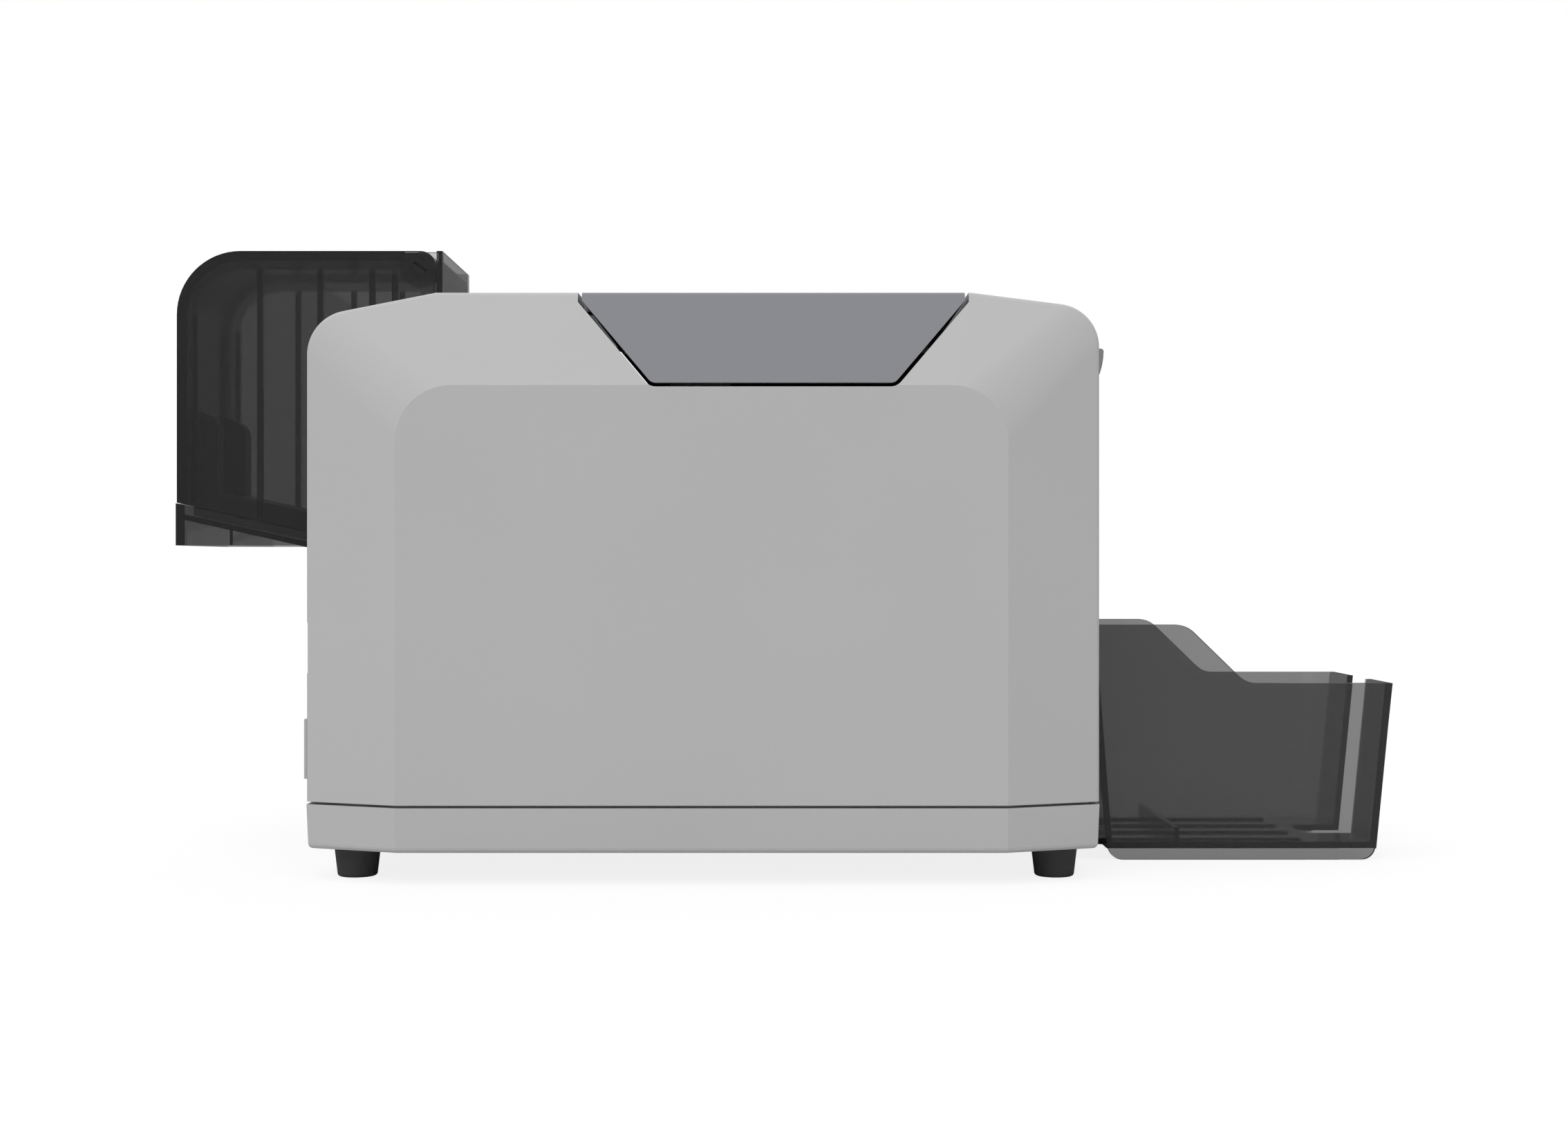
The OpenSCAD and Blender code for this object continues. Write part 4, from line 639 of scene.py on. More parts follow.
@dataclass
class DressedNodes:
    """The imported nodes, which keep their shape: each with its finish and edge radius in millimetres."""

    nodes: dict[str, bpy.types.Object]
    table: dict[Finish, dict[str, float]] = field(
        default_factory=lambda: {
            Finish.HOUSING: {"housing": 0.25, "base_pan": 0.45},
            Finish.LID: {"lid": 0.8},
            Finish.LEVER: {"release_lever": 0.5},
            Finish.BUTTON: {"button_left": 0.4, "button_right": 0.4},
            Finish.FRAME: {"power_inlet": 0.2, "switch_frame": 0.2},
            Finish.RUBBER: dict.fromkeys(
                ("foot_rear_near", "foot_rear_far", "foot_front_near", "foot_front_far"), 0
            ),
            Finish.SMOKE: {"output_hopper": 0.4},
            Finish.SMOKE_BASE: {"hopper_base": 0.3},
            Finish.SMOKE_DEEP: {"hopper_cover": 0.4},
            Finish.DARK: {"card_weight": 0.5, "control_panel": 0.15},
            Finish.BLACK: {
                "card_rail_near": 0.1,
                "card_rail_far": 0.1,
                "fan_frame": 0.2,
                "fan_rotor": 0.1,
                "power_rocker": 0.3,
                "hopper_pivot_pins": 0.2,
            },
            Finish.ROLLER: {f"{stem}_roller": 0 for stem in DRIVEN_SHAFTS},
            Finish.SHAFT: dict.fromkeys(
                (
                    "cleaning_roller",
                    "pinch_roller",
                    "exit_pinch_roller",
                    "lid_hinge_pins",
                    "tie_rods",
                ),
                0,
            ),
            Finish.GEAR: {
                **{f"{stem}_gear": 0 for stem in DRIVEN_SHAFTS},
                **{f"idler_gear_{count}": 0 for count in IDLERS},
                "supply_spool": 0.2,
                "takeup_spool": 0.2,
            },
            Finish.STEEL: dict.fromkeys(
                (
                    "side_plate_near",
                    "side_plate_far",
                    "head_bracket",
                    "base_screws",
                    "usb_port",
                    "network_port",
                ),
                0.1,
            ),
            Finish.BRONZE: {"shaft_bushes": 0, "motor_pinion": 0},
            Finish.ALUMINIUM: {"heat_sink": 0, "printhead": 0},
            Finish.MOTOR: {"main_motor": 0.3, "ribbon_motor": 0.3},
            Finish.FILM: {"ribbon_film": 0},
            Finish.BOARD: {"main_board": 0},
            Finish.GLASS: {"display_window": 0.1},
            Finish.LIGHT: {"status_lights": 0.1},
        }
    )

    def build(self) -> None:
        """Dresses all the nodes."""
        done = set()
        for finish, radii in self.table.items():
            for name, radius in radii.items():
                dress(self.nodes[name], finish)
                SmoothEdges(radius).apply(self.nodes[name])
                done.add(name)
                LOG.info("%s: %s", name, finish.value.name)
        left = sorted(set(self.nodes) - done)
        if left:
            raise ValueError(f"no finish for {left}")


class Extent(NamedTuple):
    """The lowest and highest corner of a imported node, in millimetres."""

    low: Vector
    high: Vector

    @property
    def middle(self) -> Vector:
        """The point halfway between the corners."""
        return (self.low + self.high) / 2


def extent(node: str) -> Extent:
    """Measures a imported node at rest.

    Args:
        node: the node's name.

    Returns:
        Its lowest and highest corner.
    """
    low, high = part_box(node)
    return Extent(Vector(low) / MM, Vector(high) / MM)


class Sculpt:
    """Collects simple solids, given in millimetres, into one small piece."""

    RING_STEPS = 36
    RING_SIDES = 8
    COLLAR_SHARE = 0.6
    CROWN_SHARE = 0.8
    RECESS_RIM_SHARE = 0.35
    RECESS_DEPTH_SHARE = 0.55
    CREASE = 32
    TINY = 1e-6

    def __init__(self) -> None:
        """Starts an empty piece."""
        self.mesh = bmesh.new()

    def block(self, low: Point, high: Point) -> "Sculpt":
        """Adds a box.

        Args:
            low: its lowest corner.
            high: its highest corner.

        Returns:
            The same piece, for the next solid.
        """
        centre = (Vector(low) + Vector(high)) / 2
        size = Vector(high) - Vector(low)
        matrix = Matrix.Translation(centre) @ Matrix.Diagonal((*size, 1))
        bmesh.ops.create_cube(self.mesh, size=1, matrix=matrix)
        return self

    def rod(
        self, start: Point, end: Point, radius: float, top: float | None = None, sides: int = 28
    ) -> "Sculpt":
        """Adds a cylinder or a cone.

        Args:
            start: the centre of the first end.
            end: the centre of the other end.
            radius: the radius at the start.
            top: the radius at the end, when it differs.
            sides: the number of sides.

        Returns:
            The same piece, for the next solid.
        """
        line = Vector(end) - Vector(start)
        turn = line.to_track_quat("Z", "Y").to_matrix().to_4x4()
        bmesh.ops.create_cone(
            self.mesh,
            cap_ends=True,
            segments=sides,
            radius1=radius,
            radius2=radius if top is None else top,
            depth=line.length,
            matrix=Matrix.Translation((Vector(start) + Vector(end)) / 2) @ turn,
        )
        return self

    def tube(self, points: Sequence[Point], radius: float, sides: int = 8) -> "Sculpt":
        """Adds a round wire that runs smoothly through points.

        Args:
            points: the points on its route.
            radius: its radius.
            sides: the number of sides.

        Returns:
            The same piece, for the next solid.
        """
        route = smooth_route(points)
        rings = []
        across = Vector(UPWARD)
        for count, place in enumerate(route):
            ahead = route[min(count + 1, len(route) - 1)] - route[max(count - 1, 0)]
            side = ahead.cross(across)
            side = side.normalized() if side.length > self.TINY else Vector(FORWARD)
            up = side.cross(ahead).normalized()
            ring = []
            for step in range(sides):
                angle = 2 * math.pi * step / sides
                spot = place + side * radius * math.cos(angle) + up * radius * math.sin(angle)
                ring.append(self.mesh.verts.new(spot))
            rings.append(ring)
        for near, far in zip(rings, rings[1:]):
            for step in range(sides):
                after = (step + 1) % sides
                self.mesh.faces.new((near[step], near[after], far[after], far[step]))
        self.mesh.faces.new(rings[0][::-1])
        self.mesh.faces.new(rings[-1])
        return self

    def ring(self, centre: Point, axis: Point, radius: float, thick: float) -> "Sculpt":
        """Adds a round ring.

        Args:
            centre: its centre.
            axis: the direction of its axis.
            radius: the radius of its centre line.
            thick: the radius of its section.

        Returns:
            The same piece, for the next solid.
        """
        turn = Vector(axis).to_track_quat("Z", "Y").to_matrix().to_4x4()
        matrix = Matrix.Translation(centre) @ turn
        rings = []
        for count in range(self.RING_STEPS):
            angle = 2 * math.pi * count / self.RING_STEPS
            outward = Vector((math.cos(angle), math.sin(angle), 0))
            ring = []
            for step in range(self.RING_SIDES):
                tilt = 2 * math.pi * step / self.RING_SIDES
                spot = outward * (radius + thick * math.cos(tilt))
                spot.z = thick * math.sin(tilt)
                ring.append(self.mesh.verts.new(matrix @ spot))
            rings.append(ring)
        for near, far in zip(rings, [*rings[1:], rings[0]]):
            for step in range(self.RING_SIDES):
                after = (step + 1) % self.RING_SIDES
                self.mesh.faces.new((near[step], near[after], far[after], far[step]))
        return self

    def screw(self, seat: Point, axis: Point, radius: float, height: float) -> "Sculpt":
        """Adds a pan head screw with a round recess.

        Args:
            seat: the centre of the face that it sits on.
            axis: the direction that it faces.
            radius: the head's radius.
            height: the head's height.

        Returns:
            The same piece, for the next solid.
        """
        out = Vector(axis).normalized()
        foot = Vector(seat)
        collar = foot + out * height * self.COLLAR_SHARE
        top = foot + out * height
        self.rod(foot, collar, radius)
        before = len(self.mesh.faces)
        self.rod(collar, top, radius, radius * self.CROWN_SHARE)
        self.mesh.faces.ensure_lookup_table()
        cap = max(self.mesh.faces[before:], key=lambda f: f.calc_center_median().dot(out))
        rim = radius * self.RECESS_RIM_SHARE
        bmesh.ops.inset_individual(self.mesh, faces=[cap], thickness=rim)
        inner = bmesh.ops.extrude_face_region(self.mesh, geom=[cap])
        verts = [v for v in inner["geom"] if isinstance(v, bmesh.types.BMVert)]
        depth = height * self.RECESS_DEPTH_SHARE
        bmesh.ops.translate(self.mesh, verts=verts, vec=-out * depth)
        bmesh.ops.delete(self.mesh, geom=[cap], context="FACES_ONLY")
        return self

    def hang(self, name: str, finish: Finish, body: str, radius: float = 0.0) -> None:
        """Turns the solids into one object that rides on a body.

        Args:
            name: the piece's name.
            finish: its finish.
            body: the body that carries it.
            radius: the radius of its rounded edges.
        """
        bmesh.ops.scale(self.mesh, vec=(MM, MM, MM), verts=self.mesh.verts)
        bmesh.ops.recalc_face_normals(self.mesh, faces=self.mesh.faces)
        data = bpy.data.meshes.new(name)
        self.mesh.to_mesh(data)
        self.mesh.free()
        for face in data.polygons:
            face.use_smooth = True
        data.materials.append(finish.material)
        piece = bpy.data.objects.new(name, data)
        bpy.context.scene.collection.objects.link(piece)
        if radius:
            bevel = piece.modifiers.new("soft edges", "BEVEL")
            bevel.limit_method = "ANGLE"
            bevel.width = radius * MM
            bevel.segments = 2
        smooth = piece.modifiers.new("smooth faces", "NODES")
        smooth.node_group = smooth_by_angle(self.CREASE)
        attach(piece, body)
        LOG.info("%s on %s", name, body)


def smooth_route(points: Sequence[Point], steps: int = 6) -> list[Vector]:
    """Points on a smooth curve through the given ones.

    Args:
        points: the points to pass.
        steps: the number of steps between two of them.

    Returns:
        The curve's points, with both ends.
    """
    known = [Vector(p) for p in points]
    known = [2 * known[0] - known[1], *known, 2 * known[-1] - known[-2]]
    route = []
    for a, b, c, d in zip(known, known[1:], known[2:], known[3:]):
        for step in range(steps):
            t = step / steps
            slope = (c - a) * t
            bend = (2 * a - 5 * b + 4 * c - d) * t**2
            twist = (3 * b - a - 3 * c + d) * t**3
            route.append((2 * b + slope + bend + twist) / 2)
    route.append(known[-2])
    return route


@dataclass
class FrontPanel:
    """What shows on the control panel: a picture of a card, a gauge, button signs and lamp rims."""

    card_width: float = 21.0
    card_height: float = 13.2
    card_in: float = 7.0
    line: float = 0.45
    portrait_left: float = 2.2
    portrait_right: float = 7.6
    portrait_low: float = 3.4
    portrait_high: float = 2.4
    text_left: float = 9.6
    text_rights: tuple[float, ...] = (2.2, 4.6, 3.0)
    text_first: float = 4.2
    text_pitch: float = 2.2
    text_tall: float = 1.0
    bars: int = 5
    bar_in: float = 4.0
    bar_pitch: float = 2.4
    bar_wide: float = 1.5
    bar_first: float = 3.0
    bar_step: float = 2.0
    screen_sunk: float = 0.3
    proud: float = 0.04
    sign_sunk: float = 0.2
    sign_half_width: float = 2.4
    sign_half_height: float = 0.45
    ring_in: float = 0.25
    ring_radius: float = 2.3
    ring_thick: float = 0.42
    lamp_radius: float = 1.5
    rim_radius: float = 1.75
    rim_thick: float = 0.25

    def screen(self) -> None:
        """Draws the card picture and the ribbon gauge on the display."""
        window = extent("display_window")
        face = window.high.x
        left = window.low.y + self.card_in
        right = left + self.card_width
        bottom = window.middle.z - self.card_height / 2
        top = window.middle.z + self.card_height / 2
        marks = [
            (left, right, bottom, bottom + self.line),
            (left, right, top - self.line, top),
            (left, left + self.line, bottom, top),
            (right - self.line, right, bottom, top),
            (
                left + self.portrait_left,
                left + self.portrait_right,
                bottom + self.portrait_low,
                top - self.portrait_high,
            ),
        ]
        for count, short in enumerate(self.text_rights):
            z = top - self.text_first - count * self.text_pitch
            marks.append((left + self.text_left, right - short, z, z + self.text_tall))
        for count in range(self.bars):
            y = right + self.bar_in + count * self.bar_pitch
            height = self.bar_first + count * self.bar_step
            marks.append((y, y + self.bar_wide, bottom, bottom + height))
        prints = Sculpt()
        for near, far, low, high in marks:
            prints.block((face - self.screen_sunk, near, low), (face + self.proud, far, high))
        prints.hang("screen_marks", Finish.SCREEN, "chassis")

    def buttons(self) -> None:
        """Prints a bar sign and a ring sign on the two buttons."""
        button = extent("button_left")
        face = button.high.x
        place = button.middle
        bar = Sculpt().block(
            (face - self.sign_sunk, place.y - self.sign_half_width, place.z - self.sign_half_height),
            (face + self.proud, place.y + self.sign_half_width, place.z + self.sign_half_height),
        )
        bar.hang("button_left_sign", Finish.MARK, "button_left")
        button = extent("button_right")
        centre = (button.high.x - self.ring_in, button.middle.y, button.middle.z)
        ring = Sculpt().ring(centre, FORWARD, self.ring_radius, self.ring_thick)
        ring.hang("button_right_sign", Finish.MARK, "button_right")

    def lamps(self) -> None:
        """Rings each status light."""
        lights = extent("status_lights")
        first = lights.low.y + self.lamp_radius
        last = lights.high.y - self.lamp_radius
        rims = Sculpt()
        for y in (first, lights.middle.y, last):
            centre = (lights.high.x - self.ring_in, y, lights.middle.z)
            rims.ring(centre, FORWARD, self.rim_radius, self.rim_thick)
        rims.hang("status_light_rims", Finish.BLACK, "chassis")

    def build(self) -> None:
        """Makes the panel's fine pieces."""
        self.screen()
        self.buttons()
        self.lamps()


@dataclass
class RearFace:
    """The rear's fine pieces: rocker signs, inlet and socket contacts, fan hub and small screws."""

    pivot_z: float = 44.0
    on_sign_in: float = 0.6
    on_sign_half: float = 1.3
    on_sign_radius: float = 0.3
    on_sign_sides: int = 12
    off_sign_in: float = 1.7
    off_sign_radius: float = 1.2
    off_sign_thick: float = 0.28
    off_sign_tilt: float = 0.2
    pin_pitch: float = 5.0
    pin_start: float = 6.8
    pin_end: float = 2.2
    pin_half_width: float = 0.9
    pin_half_height: float = 2.1
    tongue_in: float = 2.2
    tongue_half_width: float = 2.8
    tongue_half_height: float = 1.6
    contact_in: float = 3.0
    contact_y: float = 1.3
    contact_z: float = 1.65
    contact_half_width: float = 0.5
    contact_half_height: float = 0.08
    sill_sunk: float = 0.2
    sill_deep: float = 1.6
    sill_over: float = 0.15
    comb_start: float = 5.0
    comb_end: float = 2.4
    comb_side: float = 1.4
    comb_low: float = 3.4
    comb_high: float = 1.0
    springs: int = 8
    spring_pitch: float = 1.02
    spring_start: float = 5.4
    spring_bend: float = 9.0
    spring_end: float = 3.0
    spring_drops: tuple[float, float, float] = (3.5, 5.0, 6.6)
    spring_radius: float = 0.2
    spring_sides: int = 6
    hub_in: float = 0.4
    hub_out: float = 0.1
    hub_radius: float = 7.6
    hub_top: float = 7.2
    screw_in: float = 3.6
    screw_radius: float = 2.4
    screw_height: float = 1.5

    def rocker(self) -> None:
        """Prints the bar on the rocker's upper half and the ring on its lower half."""
        rocker = extent("power_rocker")
        y = rocker.middle.y
        upper = Vector((rocker.low.x + self.on_sign_in, y, (self.pivot_z + rocker.high.z) / 2))
        lower = Vector((rocker.low.x + self.off_sign_in, y, (self.pivot_z + rocker.low.z) / 2))
        reach = Vector((0, self.on_sign_half, 0))
        bar = Sculpt().rod(upper - reach, upper + reach, self.on_sign_radius, sides=self.on_sign_sides)
        bar.hang("rocker_on_sign", Finish.MARK, "power_rocker")
        facing = (-1, 0, -self.off_sign_tilt)
        ring = Sculpt().ring(lower, facing, self.off_sign_radius, self.off_sign_thick)
        ring.hang("rocker_off_sign", Finish.MARK, "power_rocker")

    def inlet(self) -> None:
        """Sheathes the three pins of the inlet in metal."""
        inlet = extent("power_inlet")
        start = inlet.low.x + self.pin_start
        end = inlet.high.x - self.pin_end
        z = inlet.middle.z
        pins = Sculpt()
        for side in (-1, 0, 1):
            y = inlet.middle.y + side * self.pin_pitch
            pins.block(
                (start, y - self.pin_half_width, z - self.pin_half_height),
                (end, y + self.pin_half_width, z + self.pin_half_height),
            )
        pins.hang("inlet_pins", Finish.STEEL, "chassis", radius=0.25)

    def square_socket(self) -> None:
        """Adds the tongue and contacts of the square data socket, and the sill above it."""
        port = extent("usb_port")
        place = port.middle
        tongue = Sculpt().block(
            (
                port.low.x + self.tongue_in,
                place.y - self.tongue_half_width,
                place.z - self.tongue_half_height,
            ),
            (
                port.high.x - self.tongue_in,
                place.y + self.tongue_half_width,
                place.z + self.tongue_half_height,
            ),
        )
        tongue.hang("usb_tongue", Finish.WHITE, "chassis", radius=0.15)
        start = port.low.x + self.contact_in
        end = port.high.x - self.contact_in
        strips = Sculpt()
        for y in (place.y - self.contact_y, place.y + self.contact_y):
            for z in (place.z - self.contact_z, place.z + self.contact_z):
                strips.block(
                    (start, y - self.contact_half_width, z - self.contact_half_height),
                    (end, y + self.contact_half_width, z + self.contact_half_height),
                )
        strips.hang("usb_contacts", Finish.GOLD, "chassis")
        tall = extent("network_port").high.z
        sill = Sculpt().block(
            (port.low.x - self.sill_sunk, port.low.y - self.sill_over, port.high.z),
            (port.low.x + self.sill_deep, port.high.y + self.sill_over, tall + self.sill_over),
        )
        sill.hang("usb_socket_sill", Finish.HOUSING, "chassis")

    def network_socket(self) -> None:
        """Adds the comb and the springs of the network socket."""
        port = extent("network_port")
        top = port.high.z
        comb = Sculpt().block(
            (port.low.x + self.comb_start, port.low.y + self.comb_side, top - self.comb_low),
            (port.high.x - self.comb_end, port.high.y - self.comb_side, top - self.comb_high),
        )
        comb.hang("network_comb", Finish.BLACK, "chassis", radius=0.15)
        starts = (
            port.low.x + self.spring_start,
            port.low.x + self.spring_bend,
            port.high.x - self.spring_end,
        )
        springs = Sculpt()
        for count in range(self.springs):
            y = port.middle.y + (count - (self.springs - 1) / 2) * self.spring_pitch
            route = [(x, y, top - drop) for x, drop in zip(starts, self.spring_drops)]
            springs.tube(route, self.spring_radius, self.spring_sides)
        springs.hang("network_contacts", Finish.GOLD, "chassis")

    def fan(self) -> None:
        """Adds the fan's hub cap and its corner screws inside the housing."""
        rotor = extent("fan_rotor")
        place = rotor.middle
        cap = Sculpt().rod(
            (rotor.low.x + self.hub_in, place.y, place.z),
            (rotor.low.x - self.hub_out, place.y, place.z),
            self.hub_radius,
            self.hub_top,
        )
        cap.hang("fan_hub_cap", Finish.DARK, "fan_rotor", radius=0.15)
        frame = extent("fan_frame")
        screws = Sculpt()
        for y in (frame.low.y + self.screw_in, frame.high.y - self.screw_in):
            for z in (frame.low.z + self.screw_in, frame.high.z - self.screw_in):
                screws.screw((frame.high.x, y, z), FORWARD, self.screw_radius, self.screw_height)
        screws.hang("fan_screws", Finish.STEEL, "chassis")

    def build(self) -> None:
        """Makes the rear's fine pieces."""
        self.rocker()
        self.inlet()
        self.square_socket()
        self.network_socket()
        self.fan()


@dataclass
class RibbonWay:
    """The ribbon and print head: wound film, end caps, the heating line and the head's screws."""

    film_half: float = 28.5
    film_over: float = 0.06
    film_sides: int = 64
    hub_y: float = 34.0
    hub_radius: float = 4.6
    hub_thick: float = 0.5
    plate_out: float = 0.5
    plate_sunk: float = 0.4
    plate_half: float = 24.0
    plate_low: float = 7.2
    plate_high: float = 1.0
    socket_out: float = 3.2
    socket_sunk: float = 0.4
    socket_half: float = 12.0
    socket_low: float = 8.6
    socket_high: float = 1.8
    heater_in: float = 11.0
    heater_up: float = 1.0
    heater_half: float = 27.0
    heater_radius: float = 1.04
    sink_screw_in: float = 5.0
    sink_screw_up: float = 2.5
    sink_screw_radius: float = 2.0
    sink_screw_height: float = 1.4
    cap_sunk: float = 1.5
    cap_out: float = 0.8
    cap_radius: float = 11.2
    cap_top: float = 10.4
    boss_out: float = 2.2
    boss_radius: float = 3.2
    ear_x: float = 15.0
    ear_thick: float = 1.2
    ear_screw_radius: float = 2.0
    ear_screw_height: float = 1.3

    def rolls(self) -> None:
        """Winds dark film on both spools and rings their hubs."""
        for name in ("supply_spool", "takeup_spool"):
            spool = extent(name)
            x, z = spool.middle.x, spool.middle.z
            radius = (spool.high.z - spool.low.z) / 2 + self.film_over
            roll = Sculpt().rod(
                (x, -self.film_half, z), (x, self.film_half, z), radius, sides=self.film_sides
            )
            roll.hang(f"{name}_film", Finish.ROLL, name, radius=0.3)
            rings = Sculpt()
            for y in (-self.hub_y, self.hub_y):
                rings.ring((x, y, z), SIDEWAYS, self.hub_radius, self.hub_thick)
            rings.hang(f"{name}_hub_rings", Finish.WHITE, name)

    def head(self) -> None:
        """Adds the head's cover plate, its socket, the heating line and the heat sink's screws."""
        head = extent("printhead")
        edge = head.low.x
        plate = Sculpt().block(
            (edge - self.plate_out, -self.plate_half, head.low.z + self.plate_low),
            (edge + self.plate_sunk, self.plate_half, head.high.z - self.plate_high),
        )
        plate.hang("head_cover_plate", Finish.BLACK, "lid", radius=0.15)
        socket = Sculpt().block(
            (edge - self.socket_out, -self.socket_half, head.low.z + self.socket_low),
            (edge - self.socket_sunk, self.socket_half, head.high.z - self.socket_high),
        )
        socket.hang("head_cable_socket", Finish.WHITE, "lid", radius=0.2)
        x, z = edge + self.heater_in, head.low.z + self.heater_up
        heater = Sculpt().rod(
            (x, -self.heater_half, z), (x, self.heater_half, z), self.heater_radius
        )
        heater.hang("heating_line", Finish.DARK, "lid")
        sink = extent("heat_sink")
        screws = Sculpt()
        for y in (sink.low.y + self.sink_screw_in, sink.high.y - self.sink_screw_in):
            seat = (sink.high.x, y, sink.low.z + self.sink_screw_up)
            screws.screw(seat, FORWARD, self.sink_screw_radius, self.sink_screw_height)
        screws.hang("heat_sink_screws", Finish.STEEL, "lid")

    def motor(self) -> None:
        """Adds the ribbon motor's rear cap and the screws in its two ears."""
        motor = extent("ribbon_motor")
        x, z = motor.middle.x, motor.middle.z
        end = motor.high.y
        cap = Sculpt().rod(
            (x, end - self.cap_sunk, z), (x, end + self.cap_out, z), self.cap_radius, self.cap_top
        )
        cap.rod((x, end, z), (x, end + self.boss_out, z), self.boss_radius)
        cap.hang("ribbon_motor_cap", Finish.BLACK, "chassis", radius=0.3)
        screws = Sculpt()
        for side in (-self.ear_x, self.ear_x):
            seat = (x + side, motor.low.y + self.ear_thick, z)
            screws.screw(seat, SIDEWAYS, self.ear_screw_radius, self.ear_screw_height)
        screws.hang("ribbon_motor_screws", Finish.STEEL, "chassis")

    def build(self) -> None:
        """Makes the ribbon's fine pieces."""
        self.rolls()
        self.head()
        self.motor()


@dataclass
class DriveSide:
    """The gear side: clips on the idlers, bright shaft ends and the main motor's fittings."""

    clip_radius: float = 3.4
    clip_thick: float = 0.35
    end_out: float = 0.05
    end_deep: float = 0.9
    end_radius: float = 3.04
    band_places: tuple[float, float] = (2.5, 34.0)
    band_thick: float = 0.35
    cap_sunk: float = 0.5
    cap_out: float = 1.6
    cap_radius: float = 6.0
    cap_top: float = 5.4
    tab_x: float = 9.0
    tab_half_width: float = 1.2
    tab_half_thick: float = 0.3
    tab_sunk: float = 0.3
    tab_out: float = 4.0

    def clips(self) -> None:
        """Puts a spring clip on each idler stub and a bright end on each driven shaft."""
        for count in IDLERS:
            gear = extent(f"idler_gear_{count}")
            centre = (gear.middle.x, gear.low.y - self.clip_thick, gear.middle.z)
            clip = Sculpt().ring(centre, SIDEWAYS, self.clip_radius, self.clip_thick)
            clip.hang(f"idler_clip_{count}", Finish.SHAFT, "chassis")
        for stem in DRIVEN_SHAFTS:
            roller = extent(f"{stem}_roller")
            x, z = roller.middle.x, roller.middle.z
            start = roller.low.y
            end = Sculpt().rod(
                (x, start - self.end_out, z), (x, start + self.end_deep, z), self.end_radius
            )
            end.hang(f"{stem}_shaft_end", Finish.SHAFT, f"{stem}_shaft", radius=0.15)

    def motor(self) -> None:
        """Adds the main motor's seam rings, rear cap and terminals."""
        motor = extent("main_motor")
        x, z = motor.middle.x, motor.middle.z
        end = motor.high.y
        radius = (motor.high.x - motor.low.x) / 2
        bands = Sculpt()
        for place in self.band_places:
            bands.ring((x, end - place, z), SIDEWAYS, radius, self.band_thick)
        bands.hang("main_motor_bands", Finish.STEEL, "chassis")
        cap = Sculpt().rod(
            (x, end - self.cap_sunk, z), (x, end + self.cap_out, z), self.cap_radius, self.cap_top
        )
        cap.hang("main_motor_cap", Finish.BLACK, "chassis", radius=0.3)
        tabs = Sculpt()
        for tab in (x - self.tab_x, x + self.tab_x):
            tabs.block(
                (tab - self.tab_half_width, end - self.tab_sunk, z - self.tab_half_thick),
                (tab + self.tab_half_width, end + self.tab_out, z + self.tab_half_thick),
            )
        tabs.hang("main_motor_tabs", Finish.BRONZE, "chassis")

    def build(self) -> None:
        """Makes the gear side's fine pieces."""
        self.clips()
        self.motor()


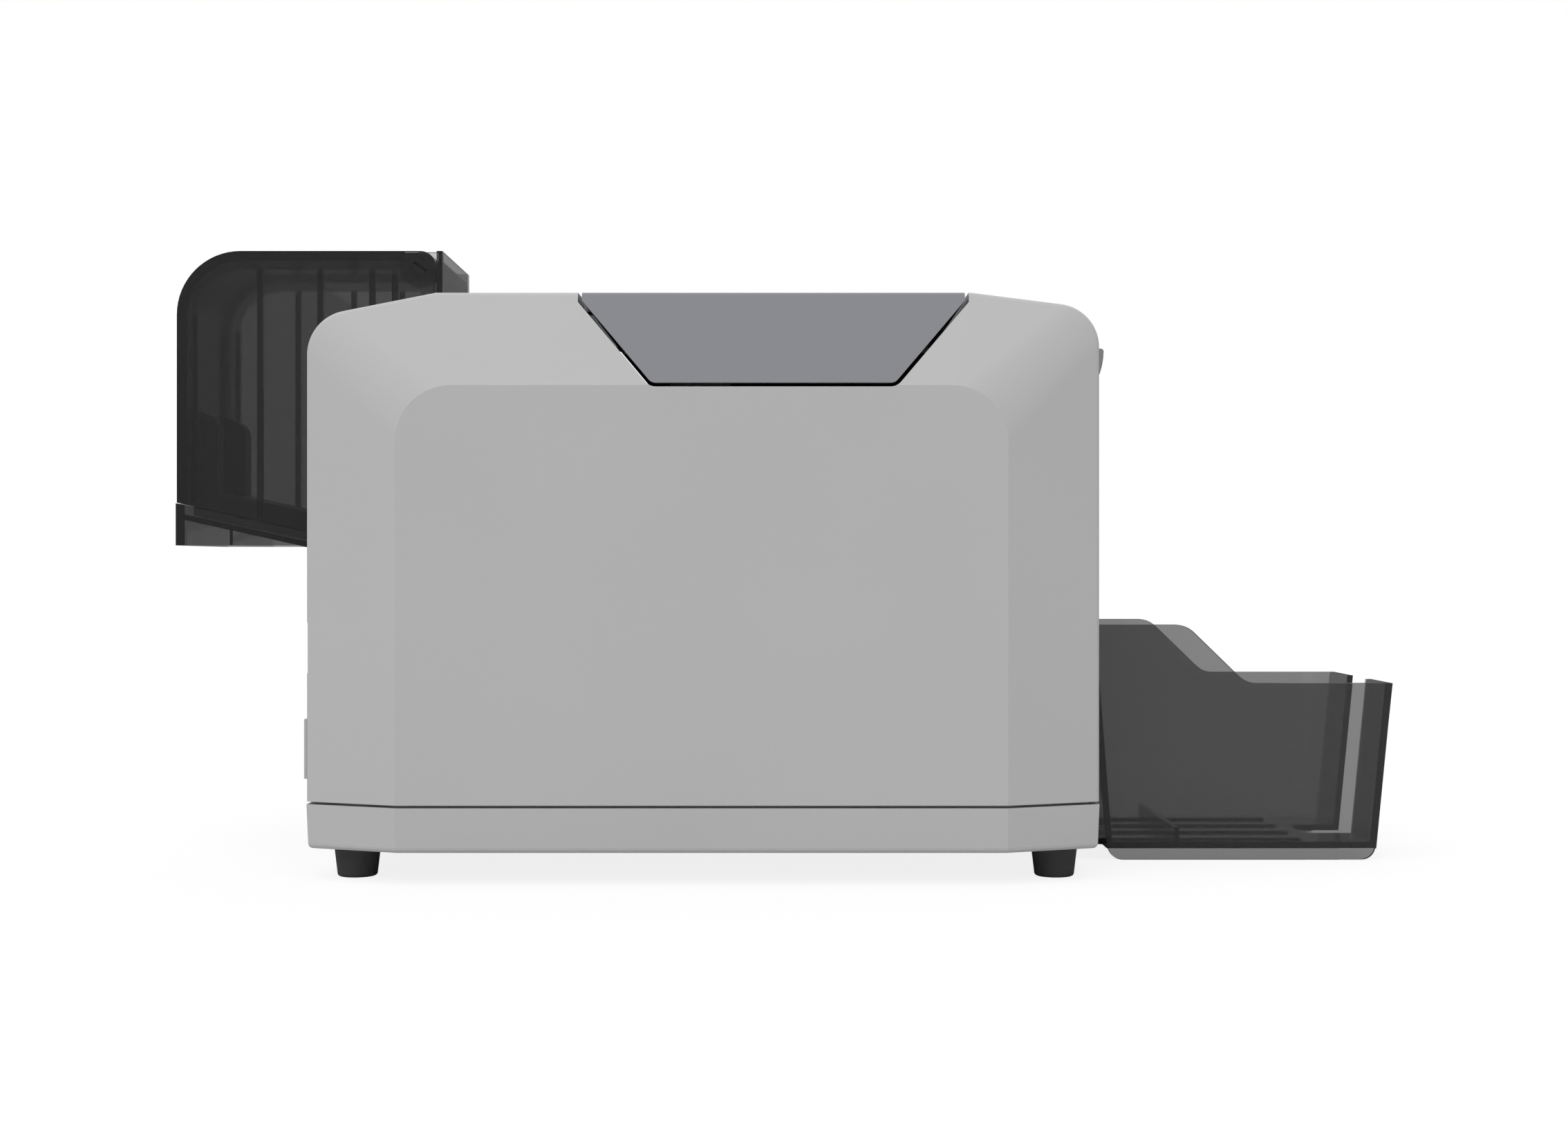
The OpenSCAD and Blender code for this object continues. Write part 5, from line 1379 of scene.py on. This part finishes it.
@dataclass
class BoardParts:
    """The small parts on the main board: a chip, the capacitors' sleeves, small parts and screws."""

    board_thick: float = 1.6
    chip: tuple[float, float] = (-99.2, -2.0)
    chip_half: float = 10.1
    chip_up: float = 0.2
    chip_top: float = 2.1
    legs: int = 16
    leg_pitch: float = 1.15
    leg_half: float = 0.2
    leg_sunk: float = 0.1
    leg_out: float = 1.1
    leg_thick: float = 0.35
    cans: int = 4
    can_start: float = -109.2
    can_pitch: float = 12.0
    can_y: float = 22.0
    sleeve_radius: float = 4.12
    sleeve_gap: float = 0.4
    can_sunk: float = 0.8
    can_proud: float = 0.08
    can_radius: float = 3.7
    can_top: float = 3.4
    rows: tuple[tuple[float, float], ...] = ((-29, -140), (-25.6, -140), (29.5, -90), (12.5, -80))
    row_parts: int = 9
    part_pitch: float = 4.4
    part_long: float = 2.1
    part_half: float = 0.65
    part_sunk: float = 0.1
    part_tall: float = 0.75
    screw_rear: float = 12.0
    screw_front: float = 5.0
    screw_side: float = 4.0
    screw_radius: float = 2.6
    screw_height: float = 1.6

    def big_chip(self, face: float) -> None:
        """Adds the chip's body and the legs on its four sides.

        Args:
            face: the height of the board's upper face.
        """
        x, y = self.chip
        half = self.chip_half
        body = Sculpt().block(
            (x - half, y - half, face + self.chip_up), (x + half, y + half, face + self.chip_top)
        )
        body.hang("board_chip", Finish.BLACK, "chassis", radius=0.2)
        top = face + self.leg_thick
        legs = Sculpt()
        for count in range(self.legs):
            step = (count - (self.legs - 1) / 2) * self.leg_pitch
            near, far = step - self.leg_half, step + self.leg_half
            for side in (-1, 1):
                inner, outer = side * (half - self.leg_sunk), side * (half + self.leg_out)
                low, high = sorted((inner, outer))
                legs.block((x + near, y + low, face), (x + far, y + high, top))
                legs.block((x + low, y + near, face), (x + high, y + far, top))
        legs.hang("board_chip_legs", Finish.STEEL, "chassis")

    def capacitors(self, face: float, top: float) -> None:
        """Sleeves the cans of the capacitors and brightens their tops.

        Args:
            face: the height of the board's upper face.
            top: the height of the cans' tops.
        """
        y = self.can_y
        cans = Sculpt()
        sleeves = Sculpt()
        for count in range(self.cans):
            x = self.can_start + count * self.can_pitch
            foot, rim = face + self.sleeve_gap, top - self.sleeve_gap
            sleeves.rod((x, y, foot), (x, y, rim), self.sleeve_radius)
            foot, rim = top - self.can_sunk, top + self.can_proud
            cans.rod((x, y, foot), (x, y, rim), self.can_radius, self.can_top)
        sleeves.hang("capacitor_sleeves", Finish.BLACK, "chassis", radius=0.3)
        cans.hang("capacitor_tops", Finish.ALUMINIUM, "chassis", radius=0.1)

    def small_parts(self, face: float) -> None:
        """Sets small parts in rows.

        Args:
            face: the height of the board's upper face.
        """
        small = Sculpt()
        for y, start in self.rows:
            for count in range(self.row_parts):
                x = start + count * self.part_pitch
                small.block(
                    (x, y - self.part_half, face - self.part_sunk),
                    (x + self.part_long, y + self.part_half, face + self.part_tall),
                )
        small.hang("board_small_parts", Finish.DARK, "chassis", radius=0.1)

    def build(self) -> None:
        """Makes the parts and the screws that hold the board."""
        board = extent("main_board")
        face = board.low.z + self.board_thick
        self.big_chip(face)
        self.capacitors(face, board.high.z)
        self.small_parts(face)
        screws = Sculpt()
        for x in (board.low.x + self.screw_rear, board.high.x - self.screw_front):
            for y in (board.low.y + self.screw_side, board.high.y - self.screw_side):
                screws.screw((x, y, face), UPWARD, self.screw_radius, self.screw_height)
        screws.hang("board_screws", Finish.STEEL, "chassis")


@dataclass
class Wires:
    """The plugs on the main board and the wires that run to them from the fan and the main motor."""

    board_thick: float = 1.6
    plug_tall: float = 5.0
    fan_plug: tuple[float, float, float, float] = (-134.0, -126.0, 26.0, 31.5)
    fan_wire_radius: float = 0.55
    fan_wire_y: float = 27.6
    fan_wire_pitch: float = 2.2
    fan_exit_pitch: float = 2.0
    motor_plug: tuple[float, float, float, float] = (-54.0, -47.0, 8.0, 16.0)
    motor_wire_radius: float = 0.6
    motor_wire_y: float = 11.5
    motor_tab_x: float = 9.0

    def plug(self, name: str, place: Sequence[float], face: float) -> None:
        """Sets a plug on the board.

        Args:
            name: the plug's name.
            place: its lowest and highest x, then its lowest and highest y.
            face: the height of the board's upper face.
        """
        left, right, near, far = place
        plug = Sculpt().block((left, near, face), (right, far, face + self.plug_tall))
        plug.hang(name, Finish.WHITE, "chassis", radius=0.2)

    def fan_wires(self, face: float) -> None:
        """Runs the fan's two wires.

        Args:
            face: the height of the board's upper face.
        """
        self.plug("fan_plug", self.fan_plug, face)
        fan = extent("fan_frame")
        for count, finish in enumerate((Finish.WIRE_RED, Finish.BLACK)):
            y = self.fan_wire_y + count * self.fan_wire_pitch
            leaves = fan.low.y + count * self.fan_exit_pitch
            route = [
                (fan.high.x - 1, leaves + 6, fan.low.z + 1),
                (fan.high.x + 3, leaves + 3, fan.low.z - 1.5),
                (-136, y + 1, face + 8),
                (-130, y, face + 6.5),
                (-129.5, y, face + 3),
            ]
            wire = Sculpt().tube(route, self.fan_wire_radius)
            wire.hang(f"fan_wire_{count + 1}", finish, "chassis")

    def motor_wires(self, face: float) -> None:
        """Runs the main motor's two wires.

        Args:
            face: the height of the board's upper face.
        """
        self.plug("motor_plug", self.motor_plug, face)
        motor = extent("main_motor")
        for side, letter, finish in ((-1, "a", Finish.WIRE_RED), (1, "b", Finish.BLACK)):
            x = motor.middle.x + side * self.motor_tab_x
            y = self.motor_wire_y + side
            route = [
                (x, motor.high.y + 3.6, motor.middle.z),
                (x - 2, motor.high.y + 9, motor.middle.z - 6),
                (-20, 8 + side * 3, face + 10),
                (-42, y, face + 8),
                (-50, y, face + 7),
                (-50.5, y, face + 3),
            ]
            wire = Sculpt().tube(route, self.motor_wire_radius)
            wire.hang(f"motor_wire_{letter}", finish, "chassis")

    def build(self) -> None:
        """Makes the plugs and wires."""
        face = extent("main_board").low.z + self.board_thick
        self.fan_wires(face)
        self.motor_wires(face)


def main() -> None:
    """Builds the studio and all the printer's pieces."""
    logging.basicConfig(level=logging.INFO, format="%(message)s")
    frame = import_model()
    Studio().build()
    DressedNodes(frame["nodes"]).build()
    for assembly in (FrontPanel, RearFace, RibbonWay, DriveSide, BoardParts, Wires):
        assembly().build()


if __name__ == "__main__":
    main()
